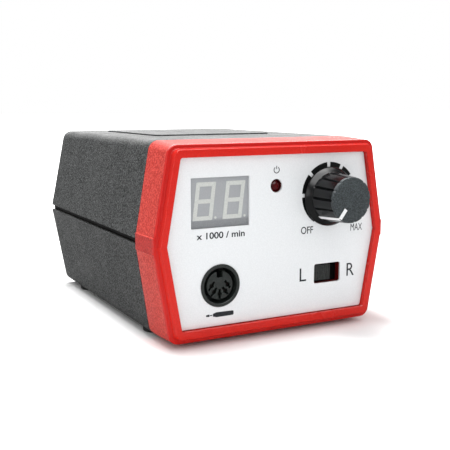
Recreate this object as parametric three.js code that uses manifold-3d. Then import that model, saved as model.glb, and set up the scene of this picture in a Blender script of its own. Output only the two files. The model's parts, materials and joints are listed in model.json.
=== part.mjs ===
// Mains control box of an electric nail drill, built as an assembly of separate pieces.
// Millimetres, +Z up, the front panel faces -Y. The origin lies on the surface that the feet
// stand on, below the middle of the whole box, knob and fuse cap included.
// While the pieces are made, y = 0 is the front face of the red rim and grows towards the back,
// and z = 0 is the middle of the seam between the two shells.
import * as THREE from 'three';
import { mergeVertices } from 'three/addons/utils/BufferGeometryUtils.js';
import Module from 'manifold-3d';

const wasm = await Module();
wasm.setup();

// Clearances shared by all pieces
const fitGap = 0.3;
const seatGap = 0.1;
const cutOverrun = 1;

// Case section and length
const caseMidHalfWidth = 53.9;
const caseTopHalfWidth = 47.1;
const caseHalfHeight = 38.7;
const caseCornerRadius = 4.1;
const caseLength = 136;
const rearTopLean = 4;
const rearBottomLean = 1.2;
const wallThickness = 2.6;
const shellGap = 2.3;

// Shell details: seam tongue, screw bosses, raised pad, rear lip and rib
const tongueInset = 1.4;
const tongueRise = 2.7;
const bossRadius = 4;
const bossBoreDepth = 12;
const padWidth = 58;
const padLength = 64;
const padHeight = 0.6;
const padCornerRadius = 3;
const padRearMargin = 16.6;
const rearLipDepth = 5.8;
const rearLipHeight = 2.4;
const rearRibThickness = 1.8;

// Feet and the four long case screws that hold them
const footRadius = 5.5;
const footHeight = 2;
const footPocketRadius = 3.4;
const footFloorThickness = 0.7;
const footSideMargin = 7.3;
const footFrontY = 32.5;
const footRearMargin = 19;
const screwShankRadius = 1.5;
const screwHeadRadius = 2.9;
const screwHeadHeight = 0.9;
const screwBite = 9;

// Red front bezel
const bandDepth = 19.2;
const bandFacetHalfHeight = 3.15;
const bandFacetRise = 0.35;
const bandFrontInset = 0.5;
const bandEdgeRound = 0.4;
const rimDepth = 2;
const rimInset = 1.95;
const rimCornerRadius = 3.2;
const rimKinkHalfHeight = 0.3;
const rimEdgeRound = 0.6;
const openingInset = 5.35;
const openingCornerRadius = 1;
const spigotReach = 5.2;
const spigotThickness = 1.6;
const spigotRoot = 5;

// White front panel and the red wall behind it
const panelRecess = 2.16;
const panelThickness = 0.8;
const frontWallThickness = 2.5;

// Two-digit display, its board and the pilot lamp
const displayX = -25.1;
const displayZ = 15.35;
const displayWidth = 25;
const displayHeight = 19.2;
const displayDepth = 8;
const displayRecess = 0.8;
const windowGap = 0.15;
const boardThickness = 1.6;
const displayBoardHeight = 24.5;
const displayBoardMargin = 4;
const postRadius = 1.5;
const postSpacing = 16;
const lampX = -0.2;
const lampZ = 20.5;
const lampRadius = 2.45;
const lampFlangeRadius = 2.95;
const lampFlangeThickness = 1;
const lampTipRecess = 0.2;

// Speed knob
const knobX = 25.1;
const knobZ = 14.95;
const knobHeight = 16.2;
const knobPanelGap = 0.5;
const skirtRadius = 12.3;
const skirtEdgeHeight = 1.3;
const skirtTopHeight = 3.6;
const gripBaseRadius = 10.2;
const gripFaceRadius = 9.4;
const fluteCount = 14;
const fluteWidth = 1.2;
const fluteDepth = 0.8;
const knobCapThickness = 1;
const knobNutRecessRadius = 7.3;
const pointerWidth = 1.3;
const pointerThickness = 0.6;
const pointerInnerRadius = 4.8;
const pointerRestAngle = -143;

// Potentiometer behind the knob
const shaftRadius = 3;
const shaftReach = 12.2;
const shaftSeatDepth = 3;
const bushRadius = 3.6;
const bushReach = 4.6;
const potRadius = 8.3;
const potDepth = 9;
const potSwitchRadius = 7.8;
const potSwitchDepth = 8.5;
const potTabWidth = 1.4;
const potTabThickness = 0.8;
const potTabLength = 5;
const potTabSpacing = 5;
const nutAcrossFlats = 10;
const nutThickness = 2;

// Left and right direction switch
const directionX = 24.95;
const directionZ = -17.2;
const directionWindowWidth = 12.7;
const directionWindowHeight = 8;
const directionWindowRadius = 0.7;
const sliderWidth = 7.6;
const sliderHeight = 6.6;
const sliderEndGap = 0.35;
const sliderRecess = 0.9;
const sliderRibCount = 4;
const sliderRibDepth = 0.4;
const shutterThickness = 1;
const shutterOverlap = 0.6;
const lugWidth = 3.6;
const lugLength = 3;
const switchPlateWidth = 36;
const switchPlateThickness = 0.8;
const switchCanWidth = 23.5;
const switchCanHeight = 11.5;
const switchCanDepth = 6.5;
const switchScrewOffset = 15;
const switchBossRadius = 2.8;
const switchTabSize = 1.2;
const switchTabLength = 3.5;
const switchTabSpacing = 4;
const smallScrewRadius = 1.3;
const smallScrewHeadRadius = 2.5;
const smallScrewHeadHeight = 1.5;
const blindSkin = 0.5;

// Five-pin handpiece socket
const socketX = -25.3;
const socketZ = -17.3;
const socketFlangeRadius = 8.4;
const socketFlangeThickness = 0.9;
const socketBodyRadius = 7.5;
const socketBoreRadius = 6.95;
const socketBoreDepth = 8;
const socketBaseThickness = 3;
const insertRadius = 5.65;
const insertRecess = 1.5;
const keywayWidth = 2.6;
const keywayDepth = 2;
const contactCount = 5;
const contactCircleRadius = 3.5;
const contactRadius = 0.75;
const contactRecess = 0.8;
const contactTail = 4;
const contactStepAngle = 45;
const contactSlotWidth = 0.8;
const contactSlotLength = 3.8;
const contactSlotDepth = 1.2;

// Control board on the floor of the lower shell
const boardBossGap = 1.8;
const boardDepth = 30;
const boardFrontGap = 3;
const standoffHeight = 5;
const standoffRadius = 3;
const boardScrewInset = 4;
const chipWidth = 18;
const chipDepth = 7;
const chipHeight = 3.4;
const chipRibbonGap = 1.1;
const connectorWidth = 14;
const connectorDepth = 5;
const connectorHeight = 7;
const capacitorRadius = 9;
const capacitorHeight = 26;
const capacitorSideMargin = 14;
const capacitorOffsetY = 4;
const capacitorRound = 0.8;
const heatSinkSideMargin = 8;
const heatSinkGap = 5;
const heatSinkHeight = 25;
const heatSinkBase = 3;
const finCount = 6;
const finLength = 8;
const finThickness = 1.4;
const transistorWidth = 10;
const transistorHeight = 15;
const transistorThickness = 4.5;

// Mains transformer on a screwed clamp
const clampSideGap = 4.5;
const coreHeight = 47.5;
const coreStackShare = 0.6;
const coreLegShare = 1 / 6;
const coilCornerRadius = 4;
const bobbinThickness = 1.2;
const transformerBoardGap = 1.5;
const transformerRearGap = 1.8;
const clampThickness = 1.2;
const clampShare = 0.6;
const clampFootLength = 10;

// Rear panel and what it carries
const rearPanelThickness = 2.5;
const rearRowZ = 15;
const rearLowZ = -14;
const ventCount = 6;
const ventWidth = 2.2;
const ventHeight = 18;
const ventPitch = 5;
const ventX = -22;

// Two-pin mains inlet
const inletBossGap = 1.55;
const inletFlangeWidth = 30;
const inletFlangeHeight = 16;
const inletFlangeThickness = 2;
const inletBodyWidth = 20.5;
const inletBodyHeight = 12.5;
const inletBodyDepth = 16.5;
const inletCavityWidth = 16.2;
const inletCavityHeight = 8.4;
const inletCavityDepth = 15;
const inletPinRadius = 1.2;
const inletPinSpacing = 8.6;
const inletPinRecess = 3;
const inletPinTail = 3;

// Fuse holder
const fuseBossGap = 2.8;
const fuseHolderRadius = 6;
const fuseHolderDepth = 25;
const fuseFlangeRadius = 7.5;
const fuseFlangeThickness = 2;
const fuseCarrierRadius = 4;
const fuseCarrierLength = 9;
const fuseCapRadius = 5.6;
const fuseCapHeight = 4.6;
const fuseSlotWidth = 1.2;
const fuseSlotDepth = 1.4;
const fuseRadius = 2.6;
const fuseLength = 20;

// Foot pedal jack
const jackBossGap = 1.3;
const jackBodyWidth = 15;
const jackBodyHeight = 13;
const jackBodyDepth = 19;
const jackBushRadius = 4.6;
const jackBushReach = 5;
const jackBoreRadius = 3.25;
const jackBoreDepth = 20;
const jackNutAcrossFlats = 12;

// Hand or foot rocker switch
const modeBodyWidth = 19;
const modeBodyHeight = 12.8;
const modeBodyDepth = 13;
const modeFlangeWidth = 21;
const modeFlangeHeight = 15;
const modeFlangeThickness = 1.6;
const rockerHalfLength = 7.6;
const rockerWidth = 9.6;
const rockerEdgeRise = 1.7;
const rockerMiddleRise = 0.5;
const rockerSkirt = 2;
const rockerKeel = 3.6;
const rockerTilt = 9;
const rockerCavityDepth = 5;
const modeTabLength = 5;
const modeTabWidth = 4;
const modeTabThickness = 0.8;

// Wiring inside the case
const ribbonWidth = 10;
const ribbonThickness = 0.9;
const ribbonBendRadius = 3;
const ribbonSetback = 9;
const ribbonLeadGap = 1.6;
const leadRadius = 1.8;
const leadScrewGap = 2.2;

// Facets and counts
const arcSteps = 6;
const roundSides = 32;
const smallSides = 12;
const knobSides = fluteCount * 4;
const hexSides = 6;
const leadSteps = 14;
const leadSides = 8;

// Places that follow from the sizes above
const half = (length) => length / 2;
const radians = THREE.MathUtils.degToRad;
const leanTangent = (caseMidHalfWidth - caseTopHalfWidth) / caseHalfHeight;
const leanCosine = Math.cos(Math.atan(leanTangent));
const shellFrontY = bandDepth + seatGap;
const floorZ = -caseHalfHeight + wallThickness;
const roofZ = caseHalfHeight - wallThickness;
const groundZ = -caseHalfHeight - seatGap - footHeight;
const footSideOffset = caseTopHalfWidth - footSideMargin;
const bossInnerX = footSideOffset - bossRadius;
const inletX = bossInnerX - inletBossGap - half(inletBodyWidth);
const fuseX = bossInnerX - fuseBossGap - fuseHolderRadius;
const jackX = half(jackBodyWidth) + jackBossGap - bossInnerX;
const modeX = half(jackX + fuseX);
const footRearY = caseLength - footRearMargin;
const wallFrontY = panelRecess + panelThickness + seatGap;
const wallBackY = wallFrontY + frontWallThickness;
const rearLipY = caseLength - rearLipDepth;
const rearOuterY = rearLipY - seatGap;
const rearInnerY = rearOuterY - rearPanelThickness;
const rearSeatY = rearOuterY + seatGap;
const displayBackY = panelRecess + displayRecess + displayDepth;
const displayBoardY = displayBackY + seatGap;
const boardFrontY = bandDepth + spigotReach + boardFrontGap;
const boardBottomZ = floorZ + standoffHeight + seatGap;
const boardTopZ = boardBottomZ + boardThickness;
const boardMidY = boardFrontY + half(boardDepth);
const boardWidth = 2 * (bossInnerX - boardBossGap);
const boardScrewX = half(boardWidth) - boardScrewInset;
const capacitorX = capacitorSideMargin - half(boardWidth);
const heatSinkLeft = capacitorX + capacitorRadius + heatSinkGap;
const heatSinkWidth = half(boardWidth) - heatSinkSideMargin - heatSinkLeft;
const heatSinkX = heatSinkLeft + half(heatSinkWidth);
const leadEndX = smallScrewHeadRadius + leadScrewGap + leadRadius - boardScrewX;
const ribbonLeft = leadEndX + leadRadius + ribbonLeadGap;
const ribbonRight = ribbonLeft + ribbonWidth;
const chipX = ribbonRight + chipRibbonGap;
const coilFrontY = boardFrontY + boardDepth + transformerBoardGap;
const coilDepth = rearSeatY - inletBodyDepth - inletPinTail - transformerRearGap - coilFrontY;
const coreStack = coilDepth * coreStackShare;
const clampReach = clampSideGap + clampFootLength + clampThickness;
const coreWidth = 2 * (caseTopHalfWidth - wallThickness - clampReach - fitGap);
const coreLegWidth = coreWidth * coreLegShare;
const clampDepth = coreStack * clampShare;
const transformerY = coilFrontY + half(coilDepth);
const coreBottomZ = floorZ + seatGap;
const coreMidZ = coreBottomZ + half(coreHeight);
const knobFrontY = panelRecess - knobHeight;
const fuseCapBackY = rearSeatY + fuseFlangeThickness + fitGap + fuseCapHeight;
const originY = half(knobFrontY + fuseCapBackY);

// Colours
function paint(color, roughness, metalness = 0) {
  return new THREE.MeshStandardMaterial({ color, roughness, metalness });
}
const shellPlastic = () => paint(0x4b4e50, 0.75);
const redPlastic = () => paint(0xd92f28, 0.45);
const panelWhite = () => paint(0xeceef0, 0.5);
const blackPlastic = () => paint(0x1b1d1f, 0.45);
const knobPlastic = () => paint(0x202325, 0.3);
const matteFace = () => paint(0x3b4143, 0.7);
const pointerWhite = () => paint(0xf4f6f7, 0.5);
const rubber = () => paint(0x141414, 0.9);
const steel = () => paint(0xb9bcc0, 0.35, 1);
const brass = () => paint(0xcaa85a, 0.35, 1);
const aluminium = () => paint(0xc6c9cc, 0.4, 1);
const boardGreen = () => paint(0x2f6b45, 0.6);
const displayGrey = () => paint(0x9a9c9f, 0.6);
const lampRed = () => paint(0x7a0d10, 0.2);
const coilTape = () => paint(0xd9a441, 0.6);
const glass = () => paint(0xd8e2e4, 0.1);
const wireGrey = () => paint(0x8d9094, 0.6);

// A closed geometry as a solid that can be joined and cut
function solid(geometry) {
  const bare = geometry.clone();
  bare.deleteAttribute('normal');
  bare.deleteAttribute('uv');
  const welded = mergeVertices(bare);
  const corners = [];
  const index = welded.index.array;
  for (let i = 0; i < index.length; i += 3) {
    const [a, b, c] = index.slice(i, i + 3);
    if (a !== b && b !== c && c !== a) corners.push(a, b, c);
  }
  const vertProperties = new Float32Array(welded.attributes.position.array);
  const triVerts = new Uint32Array(corners);
  return new wasm.Manifold(new wasm.Mesh({ numProp: 3, vertProperties, triVerts }));
}

function joined(...bodies) {
  return bodies.flat().reduce((whole, body) => whole.add(body));
}

function cut(body, ...tools) {
  return tools.flat().reduce((rest, tool) => rest.subtract(tool), body);
}

function piece(name, body, material) {
  const data = body.getMesh();
  const geometry = new THREE.BufferGeometry();
  geometry.setAttribute('position', new THREE.BufferAttribute(new Float32Array(data.vertProperties), 3));
  geometry.setIndex(new THREE.BufferAttribute(new Uint32Array(data.triVerts), 1));
  geometry.computeVertexNormals();
  const mesh = new THREE.Mesh(geometry, material);
  mesh.name = name;
  return mesh;
}

function placed(x, z, ...meshes) {
  const group = new THREE.Group();
  group.position.set(x, 0, z);
  group.add(...meshes.flat());
  return group;
}

// Closed outline with rounded corners, given counter-clockwise as [across, up, radius]
function roundedOutline(corners) {
  return corners.flatMap(([x, z, radius = 0], i) => {
    const here = new THREE.Vector2(x, z);
    if (radius <= 0) return [here];
    const before = new THREE.Vector2(...corners.at(i - 1)).sub(here).normalize();
    const after = new THREE.Vector2(...corners[(i + 1) % corners.length]).sub(here).normalize();
    const halfAngle = Math.acos(before.dot(after)) / 2;
    const inward = before.clone().add(after).normalize();
    const centre = inward.multiplyScalar(radius / Math.sin(halfAngle)).add(here);
    const start = before.clone().multiplyScalar(radius / Math.tan(halfAngle)).add(here).sub(centre);
    const sweep = Math.sign(after.cross(before)) * (Math.PI - 2 * halfAngle);
    return Array.from({ length: arcSteps + 1 }, (_, k) =>
      start.clone().rotateAround(new THREE.Vector2(), (sweep * k) / arcSteps).add(centre));
  });
}

function rectangle(width, height, radius = 0, x = 0, z = 0) {
  const right = x + half(width);
  const left = x - half(width);
  const top = z + half(height);
  const bottom = z - half(height);
  const corners = [[left, bottom, radius], [right, bottom, radius],
    [right, top, radius], [left, top, radius]];
  return roundedOutline(corners);
}

// Prisms along each axis. The outline is (x, z) along Y, (x, y) along Z and (y, z) along X.
function prismY(outline, front, back) {
  const shape = new THREE.Shape(outline);
  const geometry = new THREE.ExtrudeGeometry(shape, { depth: back - front, bevelEnabled: false });
  geometry.rotateX(Math.PI / 2);
  geometry.translate(0, back, 0);
  return solid(geometry);
}

function prismZ(outline, bottom, top) {
  const shape = new THREE.Shape(outline);
  const geometry = new THREE.ExtrudeGeometry(shape, { depth: top - bottom, bevelEnabled: false });
  geometry.translate(0, 0, bottom);
  return solid(geometry);
}

function prismX(outline, left, right) {
  const shape = new THREE.Shape(outline);
  const geometry = new THREE.ExtrudeGeometry(shape, { depth: right - left, bevelEnabled: false });
  geometry.applyMatrix4(new THREE.Matrix4().set(0, 0, 1, 0, 1, 0, 0, 0, 0, 1, 0, 0, 0, 0, 0, 1));
  geometry.translate(left, 0, 0);
  return solid(geometry);
}

function block(x0, x1, y0, y1, z0, z1) {
  const geometry = new THREE.BoxGeometry(x1 - x0, y1 - y0, z1 - z0);
  geometry.translate(half(x0 + x1), half(y0 + y1), half(z0 + z1));
  return solid(geometry);
}

function rodY(radius, front, back, x = 0, z = 0, sides = roundSides) {
  const geometry = new THREE.CylinderGeometry(radius, radius, back - front, sides);
  geometry.translate(x, half(front + back), z);
  return solid(geometry);
}

function rodZ(radius, bottom, top, x = 0, y = 0, sides = roundSides) {
  const geometry = new THREE.CylinderGeometry(radius, radius, top - bottom, sides);
  geometry.rotateX(Math.PI / 2);
  geometry.translate(x, y, half(bottom + top));
  return solid(geometry);
}

// A turned piece round the Y axis, its profile given as [radius, y] from front to back
function turnedY(profile, sides = roundSides) {
  const points = profile.map(([radius, y]) => new THREE.Vector2(radius, y));
  return solid(new THREE.LatheGeometry(points, sides));
}

// A body through outlines of equal point counts, each given with its y
function loftY(sections) {
  const count = sections[0].outline.length;
  const positions = sections.flatMap(({ outline, y }) => outline.flatMap((p) => [p.x, y, p.y]));
  const index = [];
  for (let k = 0; k + 1 < sections.length; k += 1) {
    for (let i = 0; i < count; i += 1) {
      const near = k * count;
      const far = near + count;
      const next = (i + 1) % count;
      index.push(near + i, far + i, far + next, near + i, far + next, near + next);
    }
  }
  const last = (sections.length - 1) * count;
  THREE.ShapeUtils.triangulateShape(sections[0].outline, []).forEach(([a, b, c]) => {
    index.push(a, b, c);
    index.push(last + a, last + c, last + b);
  });
  const geometry = new THREE.BufferGeometry();
  geometry.setAttribute('position', new THREE.Float32BufferAttribute(positions, 3));
  geometry.setIndex(index);
  return solid(geometry);
}

// The case section, drawn in from its outer face by an inset
function sideAt(height, inset) {
  return caseMidHalfWidth - inset / leanCosine - Math.abs(height) * leanTangent;
}

// Half of the outline at mid height, either a plain kink or a facet that stands proud of it
function kinkPoints(inset, facet, rise) {
  if (facet <= 0) return [[sideAt(0, inset), 0]];
  const foot = facet + rise;
  const upper = [[sideAt(facet, inset) + rise, facet], [sideAt(foot, inset), foot]];
  return [...upper.map(([x, z]) => [x, -z]).reverse(), ...upper];
}

function caseOutline(inset, facet = 0, cornerRadius = caseCornerRadius, rise = bandFacetRise) {
  const top = caseHalfHeight - inset;
  const topX = sideAt(top, inset);
  const radius = Math.max(cornerRadius, seatGap);
  const right = kinkPoints(inset, facet, rise);
  const left = right.map(([x, z]) => [-x, -z]);
  const topCorners = [[topX, top, radius], [-topX, top, radius]];
  const bottomCorners = [[-topX, -top, radius], [topX, -top, radius]];
  return roundedOutline([...right, ...topCorners, ...left, ...bottomCorners]);
}

function insetOutline(inset) {
  return caseOutline(inset, 0, caseCornerRadius - inset);
}

// What the leaning rear edge takes off one half, above or below the seam
function rearTrim(side, lean) {
  const reach = caseMidHalfWidth + cutOverrun;
  const height = caseHalfHeight + cutOverrun;
  const edgeY = caseLength - (lean * height) / caseHalfHeight;
  const back = caseLength + cutOverrun;
  const points = [[caseLength, 0], [edgeY, height], [back, height], [back, 0]];
  return prismX(points.map(([y, z]) => new THREE.Vector2(y, side * z)), -reach, reach);
}

// Both shells start as one tube with a rear lip and a rib in front of the rear panel
function shellTube() {
  const outside = prismY(caseOutline(0), shellFrontY, caseLength);
  const cavity = prismY(insetOutline(wallThickness), shellFrontY - cutOverrun, rearLipY);
  const rearMouth = prismY(insetOutline(wallThickness + rearLipHeight), rearLipY - cutOverrun,
    caseLength + cutOverrun);
  const ribBack = rearInnerY - seatGap;
  const rib = prismY(insetOutline(wallThickness - seatGap), ribBack - rearRibThickness, ribBack);
  const ribMouth = prismY(insetOutline(wallThickness + rearLipHeight),
    ribBack - rearRibThickness - cutOverrun,
    ribBack + cutOverrun);
  const trims = [rearTrim(1, rearTopLean), rearTrim(-1, rearBottomLean)];
  return joined(cut(outside, cavity, rearMouth, trims), cut(rib, ribMouth));
}

function halfSpace(bottom, top) {
  const reach = caseMidHalfWidth + cutOverrun;
  return block(-reach, reach, -cutOverrun, caseLength + cutOverrun, bottom, top);
}

const footPlaces = [
  ['front_left', -footSideOffset, footFrontY],
  ['front_right', footSideOffset, footFrontY],
  ['rear_left', -footSideOffset, footRearY],
  ['rear_right', footSideOffset, footRearY],
];

function upperShell() {
  const padBack = caseLength - padRearMargin;
  const pad = prismZ(rectangle(padWidth, padLength, padCornerRadius, 0, padBack - half(padLength)),
    caseHalfHeight - seatGap, caseHalfHeight + padHeight);
  const bossBottom = half(seatGap);
  const bosses = footPlaces.map(([, x, y]) =>
    rodZ(bossRadius, bossBottom, roofZ + half(wallThickness), x, y, smallSides));
  const bores = footPlaces.map(([, x, y]) =>
    rodZ(screwShankRadius + fitGap, bossBottom - cutOverrun, bossBottom + bossBoreDepth, x, y, smallSides));
  const halfTube = shellTube().intersect(halfSpace(half(shellGap), caseHalfHeight + cutOverrun));
  const rebate = innerWall(tongueInset - fitGap, 0, tongueRise + fitGap);
  return piece('upper_shell', cut(joined(cut(halfTube, rebate), pad, bosses), bores), shellPlastic());
}

// What lies within an inset of the case section, between two heights
function innerWall(inset, bottom, top) {
  const core = prismY(insetOutline(inset), shellFrontY - cutOverrun, caseLength + cutOverrun);
  return core.intersect(halfSpace(bottom, top));
}

// The seam is a half lap. The inner part of the lower wall rises behind the upper wall.
function seamTongue() {
  return shellTube().intersect(innerWall(tongueInset, -shellGap, tongueRise));
}

const boardScrewPlaces = [-1, 1].flatMap((sideX) => [-1, 1].map((sideY) => [
  sideX * boardScrewX,
  boardMidY + sideY * (half(boardDepth) - boardScrewInset),
]));
const clampScrewX = half(coreWidth) + fitGap + clampThickness + half(clampFootLength);
const clampScrewPlaces = [-1, 1].map((side) => [side * clampScrewX, transformerY]);

function lowerShell() {
  const floorRoot = floorZ - half(wallThickness);
  const bossTop = -half(seatGap);
  const bosses = footPlaces.map(([, x, y]) => rodZ(bossRadius, floorRoot, bossTop, x, y, smallSides));
  const shankHoles = footPlaces.map(([, x, y]) =>
    rodZ(screwShankRadius + fitGap, -caseHalfHeight - cutOverrun, bossTop + cutOverrun, x, y, smallSides));
  const standoffTop = floorZ + standoffHeight;
  const standoffPlaces = [...boardScrewPlaces, ...clampScrewPlaces];
  const standoffs = standoffPlaces.map(([x, y]) =>
    rodZ(standoffRadius, floorRoot, standoffTop, x, y, smallSides));
  const pilots = standoffPlaces.map(([x, y]) =>
    rodZ(smallScrewRadius + fitGap, floorZ + blindSkin, standoffTop + cutOverrun, x, y, smallSides));
  const halfTube = shellTube().intersect(halfSpace(-caseHalfHeight - cutOverrun, -half(shellGap)));
  const body = joined(halfTube, seamTongue(), bosses, standoffs);
  return piece('lower_shell', cut(body, shankHoles, pilots), shellPlastic());
}

// Each foot has a pocket for the head of the case screw that holds it
function foot(name, x, y) {
  const top = -caseHalfHeight - seatGap;
  const pad = rodZ(footRadius, groundZ, top, x, y, roundSides);
  const pocket = rodZ(footPocketRadius, groundZ - cutOverrun, top - footFloorThickness, x, y, smallSides);
  const hole = rodZ(screwShankRadius + fitGap, groundZ - cutOverrun, top + cutOverrun, x, y, smallSides);
  return piece(`foot_${name}`, cut(pad, pocket, hole), rubber());
}

function caseScrew(name, x, y) {
  const headTop = -caseHalfHeight - seatGap - footFloorThickness - seatGap;
  const head = rodZ(screwHeadRadius, headTop - screwHeadHeight, headTop, x, y, smallSides);
  const shank = rodZ(screwShankRadius, headTop - half(screwHeadHeight), half(seatGap) + screwBite, x, y,
    smallSides);
  return piece(`case_screw_${name}`, joined(head, shank), steel());
}

// Openings that the front panel and the red wall share, between two depths
function controlOpenings(front, back) {
  return [
    prismY(rectangle(displayWidth + 2 * windowGap, displayHeight + 2 * windowGap, 0, displayX, displayZ),
      front, back),
    rodY(lampRadius + windowGap, front, back, lampX, lampZ),
    rodY(bushRadius + windowGap, front, back, knobX, knobZ),
    prismY(rectangle(directionWindowWidth, directionWindowHeight, directionWindowRadius,
      directionX, directionZ),
      front, back),
    rodY(socketBodyRadius + fitGap, front, back, socketX, socketZ),
  ];
}

const switchPlateFrontY = wallBackY + fitGap + shutterThickness + fitGap;
const switchScrewPlaces = [-1, 1].map((side) => directionX + side * switchScrewOffset);

function displayPosts() {
  const left = displayX - half(displayWidth) - windowGap - postRadius - fitGap;
  const right = displayX + half(displayWidth) + windowGap + postRadius + displayBoardMargin;
  return [left, right].flatMap((x) => [-1, 1].map((side) =>
    rodY(postRadius, wallFrontY + blindSkin, displayBoardY - seatGap, x, displayZ + side * half(postSpacing),
      smallSides)));
}

// The rim keeps the kink of the case. A flat at the kink gives it the point count of the band.
function rimOutline(inset, cornerRadius) {
  return caseOutline(inset, rimKinkHalfHeight, cornerRadius, rimKinkHalfHeight * leanTangent);
}

function frontBezel() {
  const sections = [
    { y: 0, outline: rimOutline(rimInset + rimEdgeRound, rimCornerRadius - rimEdgeRound) },
    { y: rimEdgeRound, outline: rimOutline(rimInset, rimCornerRadius) },
    { y: rimDepth, outline: rimOutline(rimInset, rimCornerRadius) },
    { y: rimDepth, outline: caseOutline(bandFrontInset + bandEdgeRound, bandFacetHalfHeight) },
    { y: rimDepth + bandEdgeRound, outline: caseOutline(bandFrontInset, bandFacetHalfHeight) },
    { y: bandDepth, outline: caseOutline(0, bandFacetHalfHeight) },
  ];
  const spigotInset = wallThickness + fitGap;
  const spigotBack = bandDepth + spigotReach;
  const spigotFront = bandDepth - spigotRoot;
  const spigotCore = prismY(insetOutline(spigotInset), spigotFront, spigotBack);
  const opening = prismY(caseOutline(openingInset, 0, openingCornerRadius), -cutOverrun, wallFrontY);
  const cavity = prismY(insetOutline(wallThickness), wallBackY, bandDepth - spigotRoot);
  const throat = prismY(insetOutline(spigotInset + spigotThickness), wallBackY, spigotBack + cutOverrun);
  const bosses = switchScrewPlaces.map((x) =>
    rodY(switchBossRadius, wallFrontY + blindSkin, switchPlateFrontY - seatGap, x, directionZ, smallSides));
  const pilots = switchScrewPlaces.map((x) =>
    rodY(smallScrewRadius + fitGap, wallFrontY + blindSkin, switchPlateFrontY + cutOverrun, x, directionZ,
      smallSides));
  const shell = cut(joined(loftY(sections), spigotCore), opening, cavity, throat);
  const walled = cut(joined(shell, bosses, displayPosts()), pilots);
  return piece('front_bezel', cut(walled, controlOpenings(-cutOverrun, wallBackY + seatGap)), redPlastic());
}

function frontPanel() {
  const radius = openingCornerRadius;
  const plate = prismY(caseOutline(openingInset + windowGap, 0, radius), panelRecess,
    panelRecess + panelThickness);
  const openings = controlOpenings(panelRecess - cutOverrun, panelRecess + panelThickness + cutOverrun);
  return piece('front_panel', cut(plate, openings), panelWhite());
}

// Speed knob. Heights are measured from the panel towards the user, so y = panelRecess - height.
const atHeight = (height) => panelRecess - height;
const gripTaper = (height) => gripBaseRadius
  + ((gripFaceRadius - gripBaseRadius) * (height - skirtTopHeight)) / (knobHeight - skirtTopHeight);

// A prism of the given width whose outline is [radius, height] on one side of the knob
function radialPrism(points, width, clockAngle) {
  const profile = points.map(([radius, height]) => new THREE.Vector2(radius, atHeight(height)));
  const shape = new THREE.Shape(profile);
  const geometry = new THREE.ExtrudeGeometry(shape, { depth: width, bevelEnabled: false });
  geometry.translate(0, 0, -half(width));
  geometry.rotateY(radians(clockAngle - 90));
  return solid(geometry);
}

function fluteCutters() {
  const bottom = skirtTopHeight + fitGap;
  const top = knobHeight + cutOverrun;
  const outer = gripBaseRadius + cutOverrun;
  const points = [[gripTaper(bottom) - fluteDepth, bottom], [outer, bottom], [outer, top],
    [gripTaper(top) - fluteDepth, top]];
  return Array.from({ length: fluteCount - 1 }, (_, k) =>
    radialPrism(points, fluteWidth, pointerRestAngle + ((k + 1) * 360) / fluteCount));
}

// The white pointer is an L: a strip on the face and a leg down the side of the grip
function pointerOutline(grow) {
  const bottom = skirtTopHeight + fitGap - grow;
  const face = knobHeight + grow;
  const faceBack = knobHeight - pointerThickness - grow;
  const legInner = (height) => gripTaper(height) - pointerThickness - grow;
  const legOuter = (height) => gripTaper(height) + grow;
  const inner = pointerInnerRadius - grow;
  return [[inner, faceBack], [legInner(faceBack), faceBack], [legInner(bottom), bottom],
    [legOuter(bottom), bottom], [legOuter(face), face], [inner, face]];
}

function knobPieces() {
  const capBack = knobHeight - knobCapThickness;
  const seat = capBack - seatGap;
  const edge = half(knobPanelGap);
  const profile = [[0, seat], [gripTaper(seat), seat], [gripTaper(skirtTopHeight), skirtTopHeight],
    [skirtRadius, knobPanelGap + skirtEdgeHeight], [skirtRadius, knobPanelGap + edge],
    [skirtRadius - edge, knobPanelGap], [0, knobPanelGap]];
  const blank = turnedY(profile.map(([radius, height]) => [radius, atHeight(height)]), knobSides);
  const nutRecess = rodY(knobNutRecessRadius, atHeight(bushReach + fitGap), atHeight(-cutOverrun));
  const bore = rodY(shaftRadius + fitGap, atHeight(shaftReach + fitGap), atHeight(-cutOverrun), 0, 0,
    smallSides);
  const slot = radialPrism(pointerOutline(windowGap), pointerWidth + 2 * windowGap, pointerRestAngle);
  const flutes = fluteCutters();
  const capProfile = [[0, knobHeight], [gripTaper(knobHeight), knobHeight],
    [gripTaper(capBack), capBack], [0, capBack]];
  const cap = turnedY(capProfile.map(([radius, height]) => [radius, atHeight(height)]), knobSides);
  const pointer = radialPrism(pointerOutline(0), pointerWidth, pointerRestAngle);
  return [
    piece('speed_knob', cut(blank, nutRecess, bore, slot, flutes), knobPlastic()),
    piece('knob_cap', cut(cap, slot, flutes), matteFace()),
    piece('knob_pointer', pointer, pointerWhite()),
  ];
}

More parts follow.
